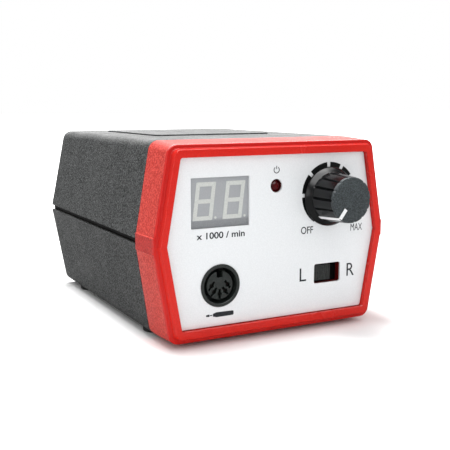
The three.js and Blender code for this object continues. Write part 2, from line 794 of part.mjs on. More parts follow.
// Potentiometer with its on-off switch can, bush, nut and shaft
function potPieces() {
  const front = wallBackY + seatGap;
  const back = front + potDepth;
  const bush = rodY(bushRadius, atHeight(bushReach), front + seatGap);
  const can = rodY(potRadius, front, back);
  const switchCan = rodY(potSwitchRadius, back - seatGap, back + potSwitchDepth);
  const tabY = front + half(potDepth);
  const tabs = [-1, 0, 1].map((step) => {
    const x = step * potTabSpacing;
    const left = x - half(potTabWidth);
    return block(left, left + potTabWidth, tabY, tabY + potTabThickness, -potRadius - potTabLength,
      -half(potRadius));
  });
  const shaftBack = front + shaftSeatDepth;
  const bore = rodY(shaftRadius + fitGap, atHeight(bushReach + cutOverrun), shaftBack + fitGap, 0, 0,
    smallSides);
  const nutBack = panelRecess - seatGap;
  const nutRadius = half(nutAcrossFlats) / Math.cos(Math.PI / hexSides);
  const nutBlank = rodY(nutRadius, nutBack - nutThickness, nutBack, 0, 0, hexSides);
  const nutBore = rodY(bushRadius + fitGap, nutBack - nutThickness - cutOverrun, nutBack + cutOverrun);
  const shaft = rodY(shaftRadius, atHeight(shaftReach), shaftBack, 0, 0, smallSides);
  return [
    piece('potentiometer', cut(joined(can, switchCan, bush, tabs), bore), steel()),
    piece('pot_nut', cut(nutBlank, nutBore), steel()),
    piece('pot_shaft', shaft, aluminium()),
  ];
}

// Direction switch. The slider rests at its left end and travels to the right.
const sliderTravel = directionWindowWidth - sliderWidth - 2 * sliderEndGap;
const sliderRestX = -half(sliderTravel);

function directionPieces() {
  const shutterFront = wallBackY + fitGap;
  const shutterBack = shutterFront + shutterThickness;
  const shutterHalf = half(directionWindowWidth + sliderTravel) + shutterOverlap;
  const shutterHalfHeight = half(directionWindowHeight) + shutterOverlap;
  const sliderFront = panelRecess + sliderRecess;
  const button = block(sliderRestX - half(sliderWidth), sliderRestX + half(sliderWidth), sliderFront,
    shutterFront + seatGap, -half(sliderHeight), half(sliderHeight));
  const ribPitch = sliderWidth / (sliderRibCount + 1);
  const grooves = Array.from({ length: sliderRibCount }, (_, k) => {
    const x = sliderRestX - half(sliderWidth) + (k + 1) * ribPitch;
    return block(x - sliderRibDepth, x + sliderRibDepth, sliderFront - cutOverrun,
      sliderFront + sliderRibDepth, -half(sliderHeight) - cutOverrun, half(sliderHeight) + cutOverrun);
  });
  const shutter = block(sliderRestX - shutterHalf, sliderRestX + shutterHalf, shutterFront, shutterBack,
    -shutterHalfHeight, shutterHalfHeight);
  const lug = block(sliderRestX - half(lugWidth), sliderRestX + half(lugWidth), shutterBack - seatGap,
    shutterBack + lugLength, -half(lugWidth), half(lugWidth));
  const plateBack = switchPlateFrontY + switchPlateThickness;
  const plate = block(-half(switchPlateWidth), half(switchPlateWidth), switchPlateFrontY, plateBack,
    -half(switchCanHeight), half(switchCanHeight));
  const canBack = plateBack + switchCanDepth;
  const can = block(-half(switchCanWidth), half(switchCanWidth), plateBack - seatGap, canBack,
    -half(switchCanHeight), half(switchCanHeight));
  const tabs = [-1, 0, 1].flatMap((column) => [-1, 1].map((row) => {
    const x = column * switchTabSpacing;
    const z = row * half(switchTabSpacing);
    return block(x - half(switchTabSize), x + half(switchTabSize), canBack - seatGap,
      canBack + switchTabLength, z - half(switchTabSize), z + half(switchTabSize));
  }));
  const slotHalf = half(lugWidth + sliderTravel) + fitGap;
  const slot = block(-slotHalf, slotHalf, switchPlateFrontY - cutOverrun, shutterBack + lugLength + fitGap,
    -half(lugWidth) - fitGap, half(lugWidth) + fitGap);
  const holes = [-1, 1].map((side) => rodY(smallScrewRadius + fitGap, switchPlateFrontY - cutOverrun,
    plateBack + cutOverrun, side * switchScrewOffset, 0, smallSides));
  return [
    piece('direction_slider', cut(joined(button, shutter, lug), grooves), blackPlastic()),
    piece('direction_switch', cut(joined(plate, can, tabs), slot, holes), steel()),
    smallScrewY('direction_screw_left', -switchScrewOffset, plateBack, wallFrontY + blindSkin + fitGap),
    smallScrewY('direction_screw_right', switchScrewOffset, plateBack, wallFrontY + blindSkin + fitGap),
  ];
}

// A small screw driven forwards, with its head behind the plate that it holds
function smallScrewY(name, x, plateBack, tip) {
  const headFront = plateBack + seatGap;
  const head = rodY(smallScrewHeadRadius, headFront, headFront + smallScrewHeadHeight, x, 0, smallSides);
  const shank = rodY(smallScrewRadius, tip, headFront + half(smallScrewHeadHeight), x, 0, smallSides);
  return piece(name, joined(head, shank), steel());
}

// Handpiece socket: outer shell, insert with keyway, and contacts in a half circle
function socketPieces() {
  const flangeBack = panelRecess - seatGap;
  const flangeFront = flangeBack - socketFlangeThickness;
  const boreBack = flangeFront + socketBoreDepth;
  const bodyBack = boreBack + socketBaseThickness;
  const flange = rodY(socketFlangeRadius, flangeFront, flangeBack);
  const body = rodY(socketBodyRadius, flangeFront + seatGap, bodyBack);
  const bore = rodY(socketBoreRadius, flangeFront - cutOverrun, boreBack);
  const insertFront = flangeFront + insertRecess;
  const insertBack = boreBack - seatGap;
  const insertBlank = rodY(insertRadius, insertFront, insertBack);
  const keyway = block(-half(keywayWidth), half(keywayWidth), insertFront - cutOverrun,
    insertBack + cutOverrun, insertRadius - keywayDepth, insertRadius + cutOverrun);
  const angles = Array.from({ length: contactCount }, (_, k) => radians(180 + k * contactStepAngle));
  const places = angles.map((angle) =>
    [contactCircleRadius * Math.cos(angle), contactCircleRadius * Math.sin(angle)]);
  const holes = places.map(([x, z]) =>
    rodY(contactRadius + fitGap, insertFront - cutOverrun, bodyBack + cutOverrun, x, z, smallSides));
  const slots = places.map(([x, z]) => {
    const reach = contactSlotDepth + cutOverrun;
    const geometry = new THREE.BoxGeometry(contactSlotLength, reach, contactSlotWidth);
    geometry.rotateY(-Math.atan2(z, x));
    geometry.translate(x, insertFront + half(contactSlotDepth - cutOverrun), z);
    return solid(geometry);
  });
  const contacts = places.map(([x, z], k) =>
    piece(`socket_contact_${k + 1}`,
      rodY(contactRadius, insertFront + contactRecess, bodyBack + contactTail, x, z, smallSides), brass()));
  return [
    piece('handpiece_socket', cut(joined(flange, body), bore, holes), blackPlastic()),
    piece('socket_insert', cut(insertBlank, keyway, holes, slots), blackPlastic()),
    ...contacts,
  ];
}

const displayBoardLeft = displayX - half(displayWidth) - displayBoardMargin;
const displayBoardRight = lampX + lampFlangeRadius + displayBoardMargin;

function displayPieces() {
  const front = panelRecess + displayRecess;
  const bottom = displayZ - half(displayHeight);
  const module = block(displayX - half(displayWidth), displayX + half(displayWidth), front, displayBackY,
    bottom, bottom + displayHeight);
  const boardBottom = displayZ - half(displayBoardHeight);
  const board = block(displayBoardLeft, displayBoardRight, displayBoardY, displayBoardY + boardThickness,
    boardBottom, boardBottom + displayBoardHeight);
  return [piece('display_module', module, displayGrey()), piece('display_board', board, boardGreen())];
}

// Pilot lamp: a domed round lens with a flange that sits on the display board
function pilotLamp() {
  const tip = panelRecess + lampTipRecess;
  const domeDepth = lampRadius;
  const dome = Array.from({ length: arcSteps + 1 }, (_, k) => {
    const angle = (k / arcSteps) * half(Math.PI);
    return [lampRadius * Math.sin(angle), tip + domeDepth * (1 - Math.cos(angle))];
  });
  const flangeFront = displayBackY - lampFlangeThickness;
  const profile = [...dome, [lampRadius, flangeFront], [lampFlangeRadius, flangeFront],
    [lampFlangeRadius, displayBackY], [0, displayBackY]];
  return piece('pilot_lamp', turnedY(profile, smallSides), lampRed());
}

// Control board with the parts that are soldered flat on it, and its four screws
function boardPieces() {
  const slab = block(-half(boardWidth), half(boardWidth), boardFrontY, boardFrontY + boardDepth,
    boardBottomZ, boardTopZ);
  const chipFront = boardFrontY + boardScrewInset;
  const chip = block(chipX, chipX + chipWidth, chipFront, chipFront + chipDepth,
    boardTopZ - seatGap, boardTopZ + chipHeight);
  const connectorX = half(boardWidth) - 2 * boardScrewInset - connectorWidth;
  const connector = block(connectorX, connectorX + connectorWidth, boardFrontY + fitGap,
    boardFrontY + fitGap + connectorDepth, boardTopZ - seatGap, boardTopZ + connectorHeight);
  const holes = boardScrewPlaces.map(([x, y]) =>
    rodZ(smallScrewRadius + fitGap, boardBottomZ - cutOverrun, boardTopZ + cutOverrun, x, y, smallSides));
  const screws = boardScrewPlaces.map(([x, y], k) => smallScrewZ(`board_screw_${k + 1}`, x, y, boardTopZ));
  return [piece('main_board', cut(joined(slab, chip, connector), holes), boardGreen()), ...screws];
}

// A small screw driven down into a standoff of the lower shell
function smallScrewZ(name, x, y, plateTop) {
  const headBottom = plateTop + seatGap;
  const head = rodZ(smallScrewHeadRadius, headBottom, headBottom + smallScrewHeadHeight, x, y, smallSides);
  const tip = floorZ + blindSkin + fitGap;
  const shank = rodZ(smallScrewRadius, tip, headBottom + half(smallScrewHeadHeight), x, y, smallSides);
  return piece(name, joined(head, shank), steel());
}

function powerParts() {
  const bottom = boardTopZ + seatGap;
  const capY = boardMidY + capacitorOffsetY;
  const can = rodZ(capacitorRadius, bottom, bottom + capacitorHeight - capacitorRound, capacitorX, capY);
  const lid = rodZ(capacitorRadius - capacitorRound, bottom, bottom + capacitorHeight, capacitorX, capY);
  const sinkFront = boardMidY;
  const sinkLeft = heatSinkLeft;
  const sinkTop = bottom + heatSinkHeight;
  const plateBack = sinkFront + heatSinkBase;
  const plate = block(sinkLeft, sinkLeft + heatSinkWidth, sinkFront, plateBack, bottom, sinkTop);
  const finPitch = (heatSinkWidth - finThickness) / (finCount - 1);
  const fins = Array.from({ length: finCount }, (_, k) => {
    const left = sinkLeft + k * finPitch;
    return block(left, left + finThickness, plateBack - seatGap, plateBack + finLength, bottom, sinkTop);
  });
  const transistorBack = sinkFront - seatGap;
  const transistorLeft = heatSinkX - half(transistorWidth);
  const transistorTop = sinkTop - fitGap;
  const tabs = [-1, 0, 1].map((step) => {
    const x = heatSinkX + step * half(half(transistorWidth));
    const y = transistorBack - half(transistorThickness);
    return block(x - half(modeTabThickness), x + half(modeTabThickness), y - half(modeTabThickness),
      y + half(modeTabThickness), bottom, transistorTop - transistorHeight + seatGap);
  });
  const transistor = block(transistorLeft, transistorLeft + transistorWidth,
    transistorBack - transistorThickness, transistorBack, transistorTop - transistorHeight, transistorTop);
  return [
    piece('smoothing_capacitor', joined(can, lid), blackPlastic()),
    piece('heat_sink', joined(plate, fins), aluminium()),
    piece('power_transistor', joined(transistor, tabs), blackPlastic()),
  ];
}

// Laminated core with two windows, the coil on its middle leg, and the screwed clamp
function transformerPieces() {
  const front = transformerY - half(coreStack);
  const back = transformerY + half(coreStack);
  const windowHeight = coreHeight - 2 * coreLegWidth;
  const windowBottom = coreBottomZ + coreLegWidth;
  const windowWidth = half(coreWidth - 4 * coreLegWidth);
  const coreBlank = block(-half(coreWidth), half(coreWidth), front, back,
    coreBottomZ, coreBottomZ + coreHeight);
  const windows = [-1, 1].map((side) => {
    const x = side * (coreLegWidth + half(windowWidth));
    return block(x - half(windowWidth), x + half(windowWidth), front - cutOverrun, back + cutOverrun,
      windowBottom, windowBottom + windowHeight);
  });
  const coilHalfX = coreLegWidth + windowWidth - fitGap;
  const coilOutline = rectangle(2 * coilHalfX, coilDepth, coilCornerRadius, 0, transformerY);
  const coilBottom = windowBottom + fitGap;
  const coilTop = windowBottom + windowHeight - fitGap;
  const winding = prismZ(coilOutline, coilBottom + bobbinThickness, coilTop - bobbinThickness);
  const cheekOutline = rectangle(2 * coilHalfX, coilDepth + bobbinThickness, 0, 0, transformerY);
  const cheeks = [
    prismZ(cheekOutline, coilBottom, coilBottom + bobbinThickness + seatGap),
    prismZ(cheekOutline, coilTop - bobbinThickness - seatGap, coilTop),
  ];
  const legHole = block(-coreLegWidth - fitGap, coreLegWidth + fitGap, front - fitGap, back + fitGap,
    coilBottom - cutOverrun, coilTop + cutOverrun);
  return [
    piece('transformer_core', cut(coreBlank, windows), steel()),
    piece('transformer_coil', cut(joined(winding, cheeks), legHole), coilTape()),
    piece('transformer_clamp', transformerClamp(), steel()),
    ...clampScrewPlaces.map(([x, y], k) => smallScrewZ(`transformer_screw_${k + 1}`, x, y, clampFootTop)),
  ];
}

const clampFootTop = floorZ + standoffHeight + seatGap + clampThickness;

function transformerClamp() {
  const innerHalf = half(coreWidth) + fitGap;
  const outerHalf = innerHalf + clampThickness;
  const footEnd = outerHalf + clampFootLength;
  const topInner = coreBottomZ + coreHeight + fitGap;
  const footBottom = clampFootTop - clampThickness;
  const topOuter = topInner + clampThickness;
  const points = [[-footEnd, footBottom], [-innerHalf, footBottom], [-innerHalf, topInner],
    [innerHalf, topInner], [innerHalf, footBottom], [footEnd, footBottom], [footEnd, clampFootTop],
    [outerHalf, clampFootTop], [outerHalf, topOuter], [-outerHalf, topOuter], [-outerHalf, clampFootTop],
    [-footEnd, clampFootTop]];
  const outline = points.map(([x, z]) => new THREE.Vector2(x, z));
  const strap = prismY(outline, transformerY - half(clampDepth), transformerY + half(clampDepth));
  const holes = clampScrewPlaces.map(([x, y]) =>
    rodZ(smallScrewRadius + fitGap, footBottom - cutOverrun, clampFootTop + cutOverrun, x, y, smallSides));
  return cut(strap, holes);
}

function rearPanel() {
  const front = rearInnerY - cutOverrun;
  const back = rearOuterY + cutOverrun;
  const plate = prismY(insetOutline(wallThickness + fitGap), rearInnerY, rearOuterY);
  const vents = Array.from({ length: ventCount }, (_, k) => {
    const x = ventX + (k - half(ventCount - 1)) * ventPitch;
    return prismY(rectangle(ventWidth, ventHeight, 0, x, rearLowZ), front, back);
  });
  const openings = [
    prismY(rectangle(inletBodyWidth + 2 * fitGap, inletBodyHeight + 2 * fitGap, 0, inletX, rearLowZ),
      front, back),
    prismY(rectangle(modeBodyWidth + 2 * fitGap, modeBodyHeight + 2 * fitGap, 0, modeX, rearRowZ),
      front, back),
    rodY(fuseHolderRadius + fitGap, front, back, fuseX, rearRowZ),
    rodY(jackBushRadius + fitGap, front, back, jackX, rearRowZ),
  ];
  return piece('rear_panel', cut(plate, vents, openings), blackPlastic());
}

function inletPieces() {
  const face = rearSeatY + inletFlangeThickness;
  const flange = prismY(rectangle(inletFlangeWidth, inletFlangeHeight, fitGap), rearSeatY, face);
  const bodyFront = face - inletFlangeThickness - inletBodyDepth;
  const body = prismY(rectangle(inletBodyWidth, inletBodyHeight), bodyFront, rearSeatY + seatGap);
  const cavityRadius = half(inletCavityHeight) - fitGap;
  const cavity = prismY(rectangle(inletCavityWidth, inletCavityHeight, cavityRadius), face - inletCavityDepth,
    face + cutOverrun);
  const pinPlaces = [-half(inletPinSpacing), half(inletPinSpacing)];
  const pinFront = bodyFront - inletPinTail;
  const holes = pinPlaces.map((x) =>
    rodY(inletPinRadius + fitGap, bodyFront - cutOverrun, face, x, 0, smallSides));
  const pins = pinPlaces.map((x, k) =>
    piece(`inlet_pin_${k + 1}`, rodY(inletPinRadius, pinFront, face - inletPinRecess, x, 0, smallSides),
      brass()));
  return [piece('mains_inlet', cut(joined(flange, body), cavity, holes), blackPlastic()), ...pins];
}

function fusePieces() {
  const face = rearSeatY + fuseFlangeThickness;
  const flange = rodY(fuseFlangeRadius, rearSeatY, face);
  const holderFront = rearSeatY - fuseHolderDepth;
  const holder = rodY(fuseHolderRadius, holderFront, rearSeatY + seatGap);
  const bore = rodY(fuseCarrierRadius + fitGap, holderFront + fuseFlangeThickness, face + cutOverrun);
  const capFront = face + fitGap;
  const cap = rodY(fuseCapRadius, capFront, fuseCapBackY);
  const carrier = rodY(fuseCarrierRadius, capFront - fuseCarrierLength, capFront + seatGap);
  const fusePocket = rodY(fuseRadius + fitGap, capFront - fuseCarrierLength - cutOverrun, capFront, 0, 0,
    smallSides);
  const slot = block(-fuseCapRadius - cutOverrun, fuseCapRadius + cutOverrun, fuseCapBackY - fuseSlotDepth,
    fuseCapBackY + cutOverrun, -half(fuseSlotWidth), half(fuseSlotWidth));
  const fuseBack = capFront - fitGap;
  const fuse = rodY(fuseRadius, fuseBack - fuseLength, fuseBack, 0, 0, smallSides);
  return [
    piece('fuse_holder', cut(joined(flange, holder), bore), blackPlastic()),
    piece('fuse_cap', cut(joined(cap, carrier), fusePocket, slot), blackPlastic()),
    piece('fuse', fuse, glass()),
  ];
}

function jackPieces() {
  const bodyBack = rearInnerY - seatGap;
  const body = block(-half(jackBodyWidth), half(jackBodyWidth), bodyBack - jackBodyDepth, bodyBack,
    -half(jackBodyHeight), half(jackBodyHeight));
  const face = bodyBack + jackBushReach;
  const bush = rodY(jackBushRadius, bodyBack - seatGap, face);
  const bore = rodY(jackBoreRadius, face - jackBoreDepth, face + cutOverrun);
  const nutRadius = half(jackNutAcrossFlats) / Math.cos(Math.PI / hexSides);
  const nutBlank = rodY(nutRadius, rearSeatY, rearSeatY + nutThickness, 0, 0, hexSides);
  const nutBore = rodY(jackBushRadius + fitGap, rearSeatY - cutOverrun,
    rearSeatY + nutThickness + cutOverrun);
  return [
    piece('pedal_jack', cut(joined(body, bush), bore), blackPlastic()),
    piece('pedal_jack_nut', cut(nutBlank, nutBore), steel()),
  ];
}

// Rocker switch. The rocker turns about a vertical axis and rests tipped to one side.
const rockerPivotY = rearSeatY + modeFlangeThickness;

function modePieces() {
  const face = rockerPivotY;
  const flange = prismY(rectangle(modeFlangeWidth, modeFlangeHeight, fitGap), rearSeatY, face);
  const bodyFront = rearSeatY - modeBodyDepth;
  const body = prismY(rectangle(modeBodyWidth, modeBodyHeight), bodyFront, rearSeatY + seatGap);
  const swing = Math.hypot(rockerHalfLength, rockerSkirt) + fitGap;
  const cavity = prismY(rectangle(2 * swing, rockerWidth + 2 * fitGap), face - rockerCavityDepth,
    face + cutOverrun);
  const tabs = [-1, 0, 1].map((step) => {
    const x = step * half(rockerHalfLength);
    return block(x - half(modeTabThickness), x + half(modeTabThickness), bodyFront - modeTabLength,
      bodyFront + seatGap, -half(modeTabWidth), half(modeTabWidth));
  });
  const points = [[-rockerHalfLength, -rockerSkirt], [0, -rockerKeel], [rockerHalfLength, -rockerSkirt],
    [rockerHalfLength, rockerEdgeRise], [0, rockerMiddleRise], [-rockerHalfLength, rockerEdgeRise]];
  const pivot = new THREE.Vector2(0, face);
  const outline = points.map(([x, y]) =>
    new THREE.Vector2(x, y).rotateAround(new THREE.Vector2(), radians(rockerTilt)).add(pivot));
  const rocker = prismZ(outline, -half(rockerWidth), half(rockerWidth));
  return [
    piece('mode_switch', cut(joined(flange, body, tabs), cavity), blackPlastic()),
    piece('mode_rocker', rocker, blackPlastic()),
  ];
}

// Flat cable from the display board, back and down to the control board
function displayRibbon() {
  const startY = displayBoardY + boardThickness + seatGap;
  const topZ = displayZ - half(half(displayBoardHeight));
  const runY = startY + ribbonSetback;
  const endY = boardFrontY + boardScrewInset;
  const endZ = boardTopZ + seatGap;
  const lowZ = endZ + ribbonSetback;
  const bend = ribbonBendRadius;
  const t = ribbonThickness;
  const outer = [[startY, topZ], [runY, topZ, bend + t], [runY, lowZ, bend], [endY + t, lowZ, bend + t],
    [endY + t, endZ], [endY, endZ], [endY, lowZ - t, bend], [runY - t, lowZ - t, bend + t],
    [runY - t, topZ - t, bend], [startY, topZ - t]];
  const outline = roundedOutline(outer.toReversed());
  return piece('display_ribbon', prismX(outline, ribbonLeft, ribbonRight),
    wireGrey());
}

// A round lead along a smooth curve through the given points
function lead(name, points) {
  const path = new THREE.CatmullRomCurve3(points.map((point) => new THREE.Vector3(...point)));
  const ring = Array.from({ length: leadSides }, (_, k) => {
    const angle = (k * 2 * Math.PI) / leadSides;
    return new THREE.Vector2(leadRadius * Math.cos(angle), leadRadius * Math.sin(angle));
  });
  const geometry = new THREE.ExtrudeGeometry(new THREE.Shape(ring), { extrudePath: path, steps: leadSteps });
  return piece(name, solid(geometry), wireGrey());
}

function handpieceLead() {
  const socketBack = panelRecess - seatGap - socketFlangeThickness + socketBoreDepth + socketBaseThickness;
  const startY = socketBack + contactTail + fitGap;
  const endX = leadEndX;
  const endY = boardFrontY + boardScrewInset;
  const endZ = boardTopZ + fitGap;
  const midY = half(startY + endY);
  return lead('handpiece_lead', [
    [socketX, startY, socketZ],
    [socketX, startY + leadRadius, socketZ],
    [half(socketX + endX), midY, socketZ + leadRadius],
    [endX, endY, half(socketZ + endZ)],
    [endX, endY, endZ],
  ]);
}

// The mains lead runs beside the transformer, from the inlet to the switch behind the knob
function mainsLead() {
  const startY = rearSeatY - inletBodyDepth - inletPinTail - fitGap;
  const endY = wallBackY + seatGap + potDepth + potSwitchDepth + fitGap;
  const sideX = half(coreWidth) + clampThickness + 2 * leadRadius;
  const slackY = 3 * leadRadius;
  const bendY = transformerY - half(clampDepth);
  return lead('mains_lead', [
    [inletX, startY, rearLowZ],
    [inletX, startY - leadRadius, rearLowZ],
    [sideX, startY - 2 * slackY, rearLowZ],
    [sideX, transformerY, rearLowZ],
    [sideX, bendY - slackY, half(rearLowZ)],
    [knobX, endY + 2 * slackY, half(knobZ)],
    [knobX, endY + leadRadius, knobZ],
    [knobX, endY, knobZ],
  ]);
}

const assembly = new THREE.Group();
assembly.position.set(0, -originY, -groundZ);
assembly.add(
  upperShell(),
  lowerShell(),
  ...footPlaces.map(([name, x, y]) => foot(name, x, y)),
  ...footPlaces.map(([name, x, y]) => caseScrew(name, x, y)),
  frontBezel(),
  frontPanel(),
  placed(knobX, knobZ, knobPieces(), potPieces()),
  placed(directionX, directionZ, directionPieces()),
  placed(socketX, socketZ, socketPieces()),
  ...displayPieces(),
  placed(lampX, lampZ, pilotLamp()),
  ...boardPieces(),
  ...powerParts(),
  ...transformerPieces(),
  rearPanel(),
  placed(inletX, rearLowZ, inletPieces()),
  placed(fuseX, rearRowZ, fusePieces()),
  placed(jackX, rearRowZ, jackPieces()),
  placed(modeX, rearRowZ, modePieces()),
  displayRibbon(),
  handpieceLead(),
  mainsLead(),
);

const nailDrillBox = new THREE.Group();
nailDrillBox.add(assembly);
export default nailDrillBox;
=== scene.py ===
"""Looks of a nail drill's mains control box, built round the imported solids.

Shapes are worked in millimetres on the case's own axes: y = 0 is the front of the red rim and
grows towards the rear, z = 0 is the middle of the seam. dress() puts each piece in its place.
"""

import json
import math

import bmesh
import bpy
from mathutils import Matrix, Vector


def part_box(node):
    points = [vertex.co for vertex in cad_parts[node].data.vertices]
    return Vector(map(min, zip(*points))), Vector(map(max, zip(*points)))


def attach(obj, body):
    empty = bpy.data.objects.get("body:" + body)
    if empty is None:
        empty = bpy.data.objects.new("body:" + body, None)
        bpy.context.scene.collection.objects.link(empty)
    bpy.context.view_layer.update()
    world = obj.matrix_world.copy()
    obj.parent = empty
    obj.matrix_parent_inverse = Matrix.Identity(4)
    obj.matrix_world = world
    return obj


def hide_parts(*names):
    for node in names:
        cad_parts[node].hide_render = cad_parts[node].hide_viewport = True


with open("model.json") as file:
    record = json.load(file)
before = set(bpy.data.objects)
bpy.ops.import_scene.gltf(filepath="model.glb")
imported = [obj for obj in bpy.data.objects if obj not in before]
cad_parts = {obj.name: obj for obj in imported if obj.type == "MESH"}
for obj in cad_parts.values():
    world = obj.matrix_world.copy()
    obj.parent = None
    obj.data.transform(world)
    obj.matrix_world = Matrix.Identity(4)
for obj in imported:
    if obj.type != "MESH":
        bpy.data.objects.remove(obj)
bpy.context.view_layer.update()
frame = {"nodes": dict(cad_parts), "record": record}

# Places of the fittings on the front and the back. All sizes are in millimetres.
DISPLAY = Vector((-25.1, 0.0, 15.35))
LAMP = Vector((-0.1, 0.0, 20.5))
KNOB = Vector((25.1, 0.0, 14.95))
DIAL = Vector((25.4, 0.0, 15.8))
SLIDE_SWITCH = Vector((24.95, 0.0, -17.2))
SOCKET = Vector((-25.3, 0.0, -17.3))
INLET = Vector((24.0, 0.0, -14.0))
VENTS = Vector((-22.0, 0.0, -14.0))
FUSE = Vector((27.0, 0.0, 15.0))
JACK = Vector((-27.0, 0.0, 15.0))
MODE = Vector((0.0, 0.0, 15.0))

# Case shells
MID_HALF_WIDTH = 53.9
TOP_HALF_WIDTH = 47.1
HALF_HEIGHT = 38.7
LEAN = (MID_HALF_WIDTH - TOP_HALF_WIDTH) / HALF_HEIGHT
LEAN_COSINE = math.cos(math.atan(LEAN))
CASE_CORNER = 4.1
SMALLEST_CORNER = 0.3
CASE_REAR = 136.0
REAR_EDGE = 1.0
REAR_TOP_LEAN = 4.0
REAR_BOTTOM_LEAN = 1.2
WALL = 2.6
LIP = 5.0
EDGE_ROUND = 0.12
STEP_DEPTH = 0.02
SHELL_FRONT = 19.3
FRONT_EDGE = 0.15
FRONT_LEAN = 2.3
BOTTOM_DROP = 0.45
DROP_DEPTHS = (2.1, 2.5)
DROP_HEIGHTS = (28.0, 35.0)
SEAM_HALF = 1.15
TONGUE_INSET = 1.4
TONGUE_TOP = 2.7
TONGUE_GAP = 0.1
SLIP = 0.3
BOSS_RADIUS = 4.0
BOSS_GAP = 0.05
SCREW_BORE = 1.8
BLIND_BORE = 12.0

# Feet and pad
FOOT_X = 39.8
FOOT_ROWS = (("front", 32.5), ("rear", 117.0))
FOOT_GAP = 0.1
FOOT_HEIGHT = 2.0
FOOT_FLOOR = 0.7
FOOT_RADIUS = 5.5
FOOT_POCKET = 3.4
PAD_MIDDLE = 87.4
PAD_FACE = (58.0, 64.0, 3.0)
PAD_THICKNESS = 0.75
PAD_SUNK = 0.15

# Front: depths of the panel and of the wall behind it
PANEL_FACE = 2.16
PANEL_BACK = 2.96
PANEL_SLIP = 0.12
PANEL_CORNER = 0.9
WALL_FRONT = 3.06
WALL_BACK = 5.56

# Front: rim and band, with (inset, depth) at the ends of each round
OPENING_INSET = 5.35
OPENING_CORNER = 1.0
OPENING_ROUND = 0.3
RIM_FACE_END = (3.1, 0.0)
RIM_SIDE_TOP = (2.7, 0.4)
RIM_SIDE_FOOT = (2.0, 1.77)
LEDGE_INSIDE = (1.75, 1.97)
LEDGE_OUTSIDE = (0.9, 2.0)
BAND_START = (0.5, 2.4)
BAND_REAR = 19.2
BAND_FACET = 3.15
BAND_FACET_RISE = 0.35
THIN_FACET = 0.05
RIM_CORNER = 5.3
LEDGE_CORNER = 3.2
BAND_CORNER = 4.0
SPIGOT_INSETS = (2.9, 4.5)
SPIGOT_CORNER = 1.2
SPIGOT_REAR = 24.4
RIM_UPRIGHT = 0.5
UPRIGHT_DEPTH = 1.5
UPRIGHT_HEIGHTS = (33.9, 35.6)
TOP_DRAFT = 0.4
DRAFT_HEIGHTS = (26.0, 33.0)

# Openings behind the controls: width, height and corner, or radius
DISPLAY_WINDOW = (25.3, 19.5, 0.25)
SWITCH_WINDOW = (13.2, 8.3, 1.0)
SWITCH_WINDOW_SHIFT = (0.25, -0.1)
LAMP_HOLE = 2.72
SHAFT_HOLE = 3.75
SOCKET_HOLE = 7.8

# Print: words with their centre, height, width and weight
LEGENDS = (("OFF", (14.8, 1.5), 3.0, 5.9, 0.01), ("MAX", (39.8, 1.1), 3.0, 6.0, 0.0),
           ("L", (13.1, -17.0), 5.5, 3.2, 0.0), ("R", (37.2, -17.0), 5.5, 3.9, 0.0),
           ("x 1000 / min", (-25.0, 2.7), 2.6, 21.0, 0.02))
LETTER_RISE = 0.012
INK = 0.03
HANDPIECE_SIGN = (-25.4, -28.8)
SIGN_BODY = ((6.0, -0.9, 0.5), (6.0, 0.9, 0.5), (-1.6, 1.0, 0.3), (-3.2, 0.55, 0.1), (-3.2, -0.55, 0.1),
             (-1.6, -1.0, 0.3))
SIGN_COLLET = ((-3.5, -0.2, 0.0), (-3.5, 0.2, 0.0), (-4.6, 0.2, 0.0), (-4.6, -0.2, 0.0))
SIGN_BIT = ((-4.7, -0.5, 0.15), (-4.7, 0.5, 0.15), (-6.2, 0.3, 0.1), (-6.2, -0.3, 0.1))
POWER_SIGN_Z = 26.8
POWER_RING = (1.05, 1.4)
POWER_RING_ENDS = (35.0, 325.0)
POWER_STROKE = ((0.17, 0.3, 0.0), (0.17, 1.6, 0.0), (-0.17, 1.6, 0.0), (-0.17, 0.3, 0.0))
DIAL_RING = (11.0, 13.3)
DIAL_MARKS = (-150.0, -90.0, -47.0, -2.0, 28.0, 57.0, 90.0, 120.0, 150.0)
DIAL_HALF_GAP = 3.4

# Speed knob: heights over the panel, angles clockwise from the top
POINTER_ANGLE = math.radians(-143.0)
FLUTES = 14
STEPS_PER_FLUTE = 24
FLUTE_PROFILE = (0.8, 0.66, 0.25)
FLUTE_TURN = math.radians(3.0)
FLUTE_REACH = 8.0
GRIP_FLUTE_DEPTH = 1.0
FACE_FLUTE_DEPTH = 0.4
KNOB_HEIGHT = 15.9
CAP_BACK = 14.8
GRIP_ROOT = 3.0
GRIP_FOOT_RADIUS = 10.2
GRIP_TOP_RADIUS = 9.2
GRIP_HEIGHTS = (12.5, 10.0, 7.5, 5.0, GRIP_ROOT + 0.2, GRIP_ROOT)
KNOB_SKIRT = ((10.3, 2.9), (10.5, 2.78), (12.0, 1.6), (12.16, 1.4), (12.24, 1.1), (12.24, 0.8),
              (12.1, 0.6), (11.7, 0.5), (7.3, 0.5), (7.3, 4.9), (0.0, 4.9))
FACE_EDGE = ((0.0, 0.0), (8.8, 0.0), (9.02, 0.06), (9.16, 0.2), (9.2, 0.4))
POINTER_HALF_WIDTH = 0.8
POINTER_START = 4.4
POINTER_END = 8.4
POINTER_HEEL = 9.4
POINTER_FOOT = 2.6
POINTER_DEPTH = 0.6
PAINT_EDGE = 8.9
PAINT_SHOULDER = 0.5
PAINT_RISE = 0.06
FACE_PAINT_RISE = 0.04

